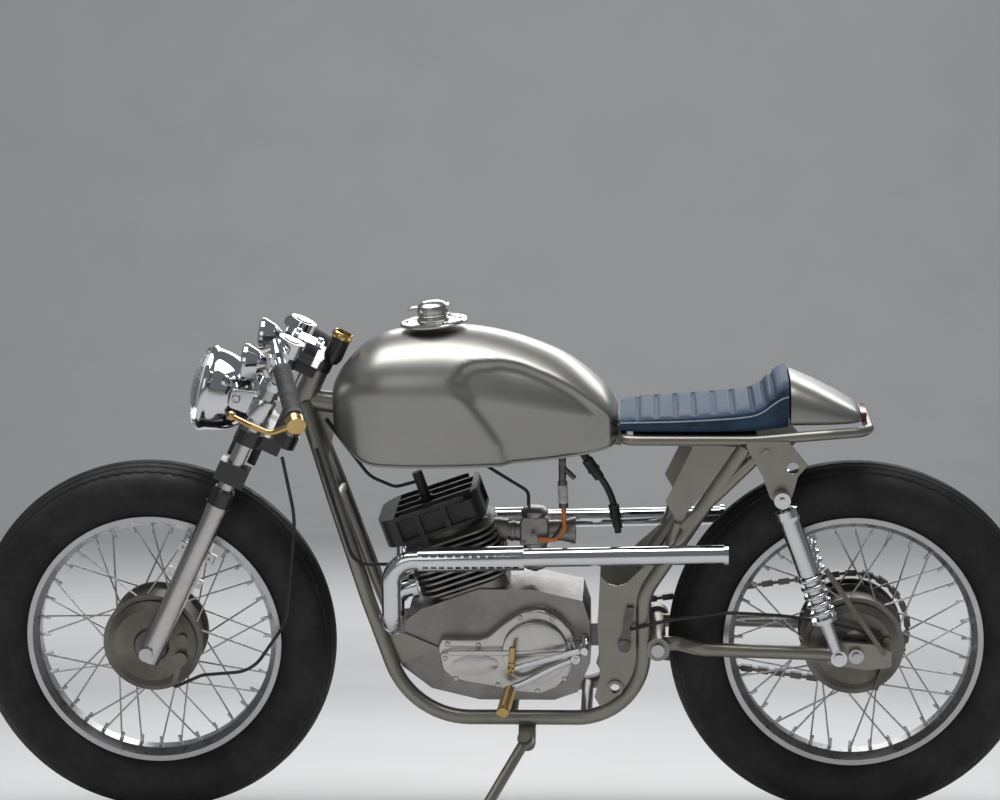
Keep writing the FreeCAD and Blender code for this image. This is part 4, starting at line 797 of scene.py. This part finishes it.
class RACER_OT_carburettor(bpy.types.Operator):
    """Cast body with its float bowl, round top, trumpet and clamps"""
    bl_idname = "racer.carburettor"
    bl_label = "Carburettor"

    def execute(self, context):
        middle = Vector((597.0, 0.0, 0.0))
        body = slab("carb_body",
                    rounded(((570, 536), (624, 532), (624, 578), (618, 588), (574, 588), (570, 578)), 7),
                    -26, 26, 4, 3)
        bowl = spun("carb_bowl",
                    [(478, 0.05), (478, 7), (481, 9), (483, 18), (487, 23.5), (496, 25.4), (520, 25.4),
                                  (521, 27.5), (526, 27.5), (527, 24.5), (540, 24.5), (540, 0.05)],
                    middle, (0, 0, 1), 64, 35)
        lid = spun("carb_lid",
                   [(584, 0.05), (584, 24), (588, 25.6), (596, 25.6), (598, 23.5), (602, 19), (604, 8),
                                (604, 0.05)], middle, (0, 0, 1), 64, 35)
        mouth = spun("carb_mouth",
                     [(572, 20), (566, 19.4), (548, 19.8), (534, 22.4), (525, 25.4), (520, 25.9),
                                    (519.6, 24.6), (527, 21.4), (548, 17.6), (572, 17)], (0, 0, 556), (1,
                                        0, 0), 64, 40)
        neck = spun("carb_neck",
                    [(0, 0.05), (0, 21), (3, 21), (4, 18), (24, 17.8), (25, 19.4), (31, 19.4), (32, 17.6),
                                  (37.5, 17.6), (37.5, 0.05)], (610, 0, 551.7), (38, 0, 4.2), 56, 35)
        pieces = [body, bowl, lid, mouth, neck]
        for index, (x, y) in enumerate(((579, 20), (579, -20), (615, 20), (615, -20))):
            pieces.append(bolt("bowl_screw_%d" % index, (x, y, 521), (0, 0, -1), 3.2, 3))
        for index, (x, z) in enumerate(((578, 544), (616, 541))):
            pieces.append(bolt("body_screw_%d" % index, (x, 25, z), (0, 1, 0), 3.6, 3.4))
        pieces.append(spun("idle_screw", [(24, 0.05), (24, 3), (34, 3), (35, 5.4), (41, 5.4), (42, 0.05)],
                           (598, 0, 556), (0, 1, 0), 20, 30))
        finished(joined("carb", pieces), "machine", "cast", ("carburettor",))
        return {"FINISHED"}


GEAR_LINE = ((518, 132, 347), (546, 132.6, 335), (578, 134, 319.5), (610, 136, 303), (640, 138, 291))
KICK_LINE = ((502, 146, 368), (570, 146, 349.4), (636, 146, 331))


class RACER_OT_levers(bpy.types.Operator):
    """Gear and kick levers in chrome, with knurled brass pegs"""
    bl_idname = "racer.levers"
    bl_label = "Foot levers"

    def execute(self, context):
        arms = [tube("gear_arm", GEAR_LINE, 6.2, 16, 8), tube("kick_arm", KICK_LINE, 6.0, 16, 6)]
        arms.append(spun("gear_boss", [(107, 0.05), (107, 10), (138, 10), (140, 8.4), (140, 0.05)],
                         (518, 0, 347), (0, 1, 0), 32, 35))
        arms.append(spun("kick_boss", [(76, 0.05), (76, 9), (152, 9), (155, 7), (155, 0.05)],
                         (502, 0, 368), (0, 1, 0), 32, 35))
        arms.append(bolt("gear_bolt", (518, 139.6, 347), (0, 1, 0), 5, 3))
        finished(joined("lever_arms", arms), "machine", "chrome", ("foot_levers",))
        start, end = Vector((640.0, 145.0, 290.0)), Vector((650.0, 222.0, 272.0))
        span = (end - start).length
        rows = [(0, 0.05), (0, 9), (3, 11.4)]
        at = 6.0
        while at < span - 8:
            rows += [(at, 11.8), (at + 1.4, 10.4), (at + 2.6, 10.4), (at + 4.0, 11.8)]
            at += 5.6
        rows += [(span - 3, 11.8), (span, 9.8), (span, 0.05)]
        peg = spun("gear_peg", rows, start, end - start, 32, 25)
        tip = spun("kick_peg",
                   [(-3, 0.05), (-3, 6.6), (2, 6.8), (4, 5.2), (8, 5.2), (10, 6.2), (30, 6.2), (34, 5),
                                (35, 0.05)], (636, 146, 341), (634 - 636, 4, 36), 28, 25)
        knob = spun("kick_knob", [(-9, 0.05), (-8, 4), (-5, 7.4), (0, 8.9), (5, 7.4), (8, 4), (9, 0.05)],
                    (636, 146, 331), (0, 1, 0), 32, 50)
        finished(joined("lever_pegs", [peg, tip, knob]), "machine", "brass", ("foot_levers",))
        return {"FINISHED"}


GAUGE = fork_point(632.3, -79.0)


class RACER_OT_gauge(bpy.types.Operator):
    """Small round gauge with a brass bezel and a plain ticked dial"""
    bl_idname = "racer.gauge"
    bl_label = "Gauge"

    def execute(self, context):
        cup = spun("gauge_cup",
                   [(0, 0.05), (0, 13), (3, 14.5), (10, 17.4), (14, 18), (49, 18), (50, 17), (50, 0.05)],
                   GAUGE, LEG_UP, 64, 40)
        finished(cup, "front_end", "enamel", ("gauge",))
        bezel = spun("gauge_bezel",
                     [(50.4, 16.4), (50.4, 19.6), (52, 20), (57, 20), (60, 18.8), (62, 17), (61.4, 15.6),
                                     (56, 15)], GAUGE, LEG_UP, 64, 40)
        finished(bezel, "front_end", "brass", ("gauge",))
        dial = [spun("gauge_face", [(50.4, 0.05), (50.4, 16.2), (56, 16.2), (56, 0.05)], GAUGE, LEG_UP,
                     48, 30)]
        finished(joined("gauge_dial", dial), "front_end", "plastic", ())
        across = LEG_AHEAD
        ticks = []
        for step in range(11):
            turn = math.radians(-135 + 27 * step)
            spot = GAUGE + across * (12.4 * math.cos(turn)) + Vector((0, 12.4 * math.sin(turn), 0))
            ticks.append(spun("tick_%d" % step, [(55.8, 0.05), (55.8, 0.9), (56.6, 0.7), (56.6, 0.05)],
                              spot, LEG_UP,
                              8, 30))
        finished(joined("gauge_ticks", ticks), "front_end", "satin", ())
        return {"FINISHED"}


class RACER_OT_plumbing(bpy.types.Operator):
    """Fuel hose with its filter glass, the wiring loom, and the ribs of the tail lamp"""
    bl_idname = "racer.plumbing"
    bl_label = "Hose and lamp ribs"

    def execute(self, context):
        route = ((541, 40, 616), (541, 40, 588), (544, 38.6, 565), (558, 35.6, 550), (574, 34.9, 548),
                 (588, 34.9, 548))
        finished(tube("fuel_hose", route, 4.9, 16, 10), "machine", "orange", ())
        glass = spun("filter_glass",
                     [(0, 0.05), (0, 6), (2, 9.4), (34, 9.6), (36, 9.4), (38, 6), (38, 0.05)],
                     (541.4, 40, 619), (0.04, 0, 1), 40, 40)
        finished(glass, "machine", "clear", ())
        loom = [tube("loom_sleeve",
                     ((512, 26, 722), (494, 27, 694), (462, 28, 650), (446, 28, 606), (440, 28, 560)), 6.5,
                     16, 8),
                tube("loom_wire", ((508, 18, 722), (478, 16, 678), (452, 17, 622), (434, 18, 566)), 2.6,
                     10, 8)]
        for index, (start, end,
                    size) in enumerate((((498, 27, 701), (474, 28, 666), 11),
                                        ((449, 28, 616), (441, 28, 572), 10))):
            along = Vector(end) - Vector(start)
            length = along.length
            loom.append(spun("loom_plug_%d" % index,
                             [(0, 4), (0, size - 2), (2, size), (length * 0.45, size),
                                                      (length * 0.5, size + 1.4), (length * 0.6,
                                                          size + 1.4),
                                                      (length * 0.65, size - 1), (length,
                                                          size - 1), (length, 4)],
                             start, along, 28, 35))
        finished(joined("wiring_loom", loom), "machine", "plastic", ())
        ribs = []
        for step in range(5):
            height = 777.5 + step * 3.2
            ribs.append(slab("lamp_rib_%d" % step,
                             rounded(((-16.8, height), (-6.6, height), (-6.6, height + 1.8),
                                                            (-16.8,
                                                             height + 1.8)), 0.6), -40.5, 40.5, 0.5, 2))
        finished(joined("lamp_ribs", ribs), "machine", "red", ())
        return {"FINISHED"}


class RACER_OT_grips(bpy.types.Operator):
    """Ribbed rubber grips with end flanges"""
    bl_idname = "racer.grips"
    bl_label = "Grips"

    def execute(self, context):
        root, tip = Vector((1062.0, 104.0, 937.0)), Vector((1006.0, 300.0, 845.0))
        length = (tip - root).length
        start, end = 0.362 * length, 0.998 * length
        outline = [(start, 11.4), (start, 16.8), (start + 4, 16.8)]
        at = start + 8
        while at < end - 8:
            outline += [(at, 16.6), (at + 1.2, 15.4), (at + 2.8, 15.4), (at + 4.0, 16.6)]
            at += 6.4
        outline += [(end - 3, 16.8), (end, 16.2), (end, 11.4)]
        left = spun("left_grip", outline, root, tip - root, 40, 50)
        right = flipped(left, "right_grip")
        finished(left, "front_end", "grip", ("grips",))
        finished(right, "front_end", "grip", ("grips",))
        return {"FINISHED"}


class RACER_OT_wheel_trim(bpy.types.Operator):
    """Spoke nipples and valve stems"""
    bl_idname = "racer.wheel_trim"
    bl_label = "Wheel trim"

    def execute(self, context):
        for centre, body in ((FRONT, "front_wheel"), (REAR, "rear_wheel")):
            pieces = []
            for index in range(36):
                side = 1 if index % 2 else -1
                y = side * (4.0 if index % 4 < 2 else 0.0)
                angle = 2 * math.pi * index / 36
                outward = Vector((math.cos(angle), 0, math.sin(angle)))
                foot = Vector(centre) + outward * 205 + Vector((0, y * 1.2, 0))
                pieces.append(spun("nipple_%d" % index,
                                   [(0, 1.9), (0, 2.8), (12, 2.9), (14, 3.8), (16.6, 3.8),
                                                         (16.6, 1.9)], foot, outward, 10, 30))
            angle = math.radians(108)
            outward = Vector((math.cos(angle), 0, math.sin(angle)))
            pieces.append(spun("valve",
                               [(0, 0.05), (0, 3.2), (10, 3.2), (11, 2.4), (30, 2.4), (31, 4.6), (36, 4.6),
                                         (36, 0.05)], Vector(centre) + outward * 186, outward, 16, 30))
            finished(joined(body + "_trim", pieces), body, "steel", ())
        return {"FINISHED"}


class RACER_OT_piping(bpy.types.Operator):
    """Light piping round the seat and studs under it"""
    bl_idname = "racer.piping"
    bl_label = "Piping"

    def execute(self, context):
        rows = smooth_rows(SEAT_ROWS, 40)
        for side, name in ((1, "left"), (-1, "right")):
            points = [(x, side * (half - 1.0), base + (crown - base) * 0.70) for x, base, crown,
                      half in rows]
            finished(tube(name + "_piping", points, 1.7, 8, 3), "machine", "thread", ())
        for index, x in enumerate((395, 330, 250)):
            stud = bolt("seat_stud_%d" % index, (x, 88, 756), (0, 0, -1), 4, 14)
            finished(stud, "machine", "steel", ())
        return {"FINISHED"}


# ---------------------------------------------------------------- stage
SWEEP = 36.0                    # side of the floor, which curves up into a backdrop at the far side
SWEEP_BEND = 6.0                # radius of that curve
LIGHTS = (                      # name, place, size, power, aimed at; metres and watts
    ("key", (0.2, 0.5, 3.2), (3.6, 1.6), 96, (0, 0, 0.5)),
    ("fill", (1.6, 4.2, 1.8), (2.6, 2.0), 16, (0, 0, 0.5)),
    ("rim_light", (-0.6, -2.4, 2.4), (3.0, 1.0), 40, (0, 0, 0.5)),
    ("backdrop_light", (0.0, -3.4, 4.6), (9.0, 3.0), 420, (0, -16, 2.0)),
)
CAMERA_PLACE = Vector((0.396, 5.319, 0.748))
CAMERA_YAW = math.radians(2.98)
CAMERA_LENS, CAMERA_SENSOR = 99.4, 36.0
CAMERA_SHIFT = (0.002, 0.02)


class RACER_OT_stage(bpy.types.Operator):
    """Pale floor, soft studio light and the camera"""
    bl_idname = "racer.stage"
    bl_label = "Stage"

    def execute(self, context):
        scene = context.scene
        floor = started("floor", bpy.ops.mesh.primitive_plane_add, size=SWEEP, location=(0, 0, 0))
        only(floor)
        bpy.ops.object.mode_set(mode="EDIT")
        bpy.ops.mesh.select_all(action="DESELECT")
        bpy.ops.object.mode_set(mode="OBJECT")
        for edge in floor.data.edges:
            edge.select = all(floor.data.vertices[index].co.y < 0 for index in edge.vertices)
        bpy.ops.object.mode_set(mode="EDIT")
        bpy.ops.mesh.select_mode(type="EDGE")
        bpy.ops.mesh.extrude_region_move(TRANSFORM_OT_translate={"value": (0, 0, SWEEP / 2)})
        bpy.ops.mesh.select_mode(type="VERT")
        bpy.ops.object.mode_set(mode="OBJECT")
        apply_modifier(floor, "BEVEL", width=SWEEP_BEND, segments=24, limit_method="ANGLE")
        smooth(floor, 60)
        s = Shader("pale_floor")
        s.surface(Base_Color=s.ramp(s.noise(1.5), (0.70, 0.70, 0.70), (0.73, 0.73, 0.73)), Roughness=0.8)
        floor.data.materials.append(s.material)
        world = bpy.data.worlds.new("studio")
        scene.world = world
        world.use_nodes = True
        nodes, links = world.node_tree.nodes, world.node_tree.links
        background = nodes["Background"]
        background.inputs["Color"].default_value = (0.50, 0.52, 0.55, 1)
        background.inputs["Strength"].default_value = 0.34
        white = nodes.new("ShaderNodeBackground")
        white.inputs["Color"].default_value = (0.93, 0.93, 0.93, 1)
        white.inputs["Strength"].default_value = 1.0
        path = nodes.new("ShaderNodeLightPath")
        mix = nodes.new("ShaderNodeMixShader")
        links.new(path.outputs["Is Camera Ray"], mix.inputs[0])
        links.new(background.outputs[0], mix.inputs[1])
        links.new(white.outputs[0], mix.inputs[2])
        links.new(mix.outputs[0], nodes["World Output"].inputs["Surface"])
        for name, place, size, power, aim in LIGHTS:
            clear_selection()
            bpy.ops.object.light_add(type="AREA", location=place)
            lamp = bpy.context.object
            lamp.name = name
            lamp.data.shape = "RECTANGLE"
            lamp.data.size, lamp.data.size_y = size
            lamp.data.energy = power
            lamp.rotation_euler = (Vector(aim) - Vector(place)).to_track_quat("-Z", "Y").to_euler()
        clear_selection()
        bpy.ops.object.camera_add()
        camera = bpy.context.object
        camera.name = "camera"
        look = Vector((math.sin(CAMERA_YAW), -math.cos(CAMERA_YAW), 0))
        camera.location = CAMERA_PLACE + SHIFT
        camera.rotation_euler = look.to_track_quat("-Z", "Y").to_euler()
        camera.data.sensor_width = CAMERA_SENSOR
        camera.data.lens = CAMERA_LENS
        camera.data.shift_x, camera.data.shift_y = CAMERA_SHIFT
        camera.data.clip_end = 100
        scene.camera = camera
        scene.view_settings.view_transform = "Standard"
        return {"FINISHED"}


class RACER_PT_panel(bpy.types.Panel):
    """Lists the pieces"""
    bl_idname = "RACER_PT_panel"
    bl_label = "Cafe racer"
    bl_space_type = "VIEW_3D"
    bl_region_type = "UI"
    bl_category = "Racer"

    def draw(self, context):
        settings = context.scene.racer
        for name in ("tank_colour", "tread_blocks"):
            self.layout.prop(settings, name)
        for operator in OPERATORS:
            self.layout.operator(operator.bl_idname)


OPERATORS = (RACER_OT_finishes, RACER_OT_tyres, RACER_OT_tank, RACER_OT_seat, RACER_OT_cowl,
             RACER_OT_covers,
             RACER_OT_lamp, RACER_OT_fuel_cap, RACER_OT_carburettor, RACER_OT_levers, RACER_OT_gauge,
             RACER_OT_plumbing, RACER_OT_grips, RACER_OT_wheel_trim, RACER_OT_piping, RACER_OT_stage)
CLASSES = (RacerSettings,) + OPERATORS + (RACER_PT_panel,)


def register():
    for entry in CLASSES:
        bpy.utils.register_class(entry)
    bpy.types.Scene.racer = bpy.props.PointerProperty(type=RacerSettings)


def unregister():
    del bpy.types.Scene.racer
    for entry in reversed(CLASSES):
        bpy.utils.unregister_class(entry)


def main():
    register()
    for entry in OPERATORS:
        group, name = entry.bl_idname.split(".")
        getattr(getattr(bpy.ops, group), name)()


if __name__ == "__main__":
    main()
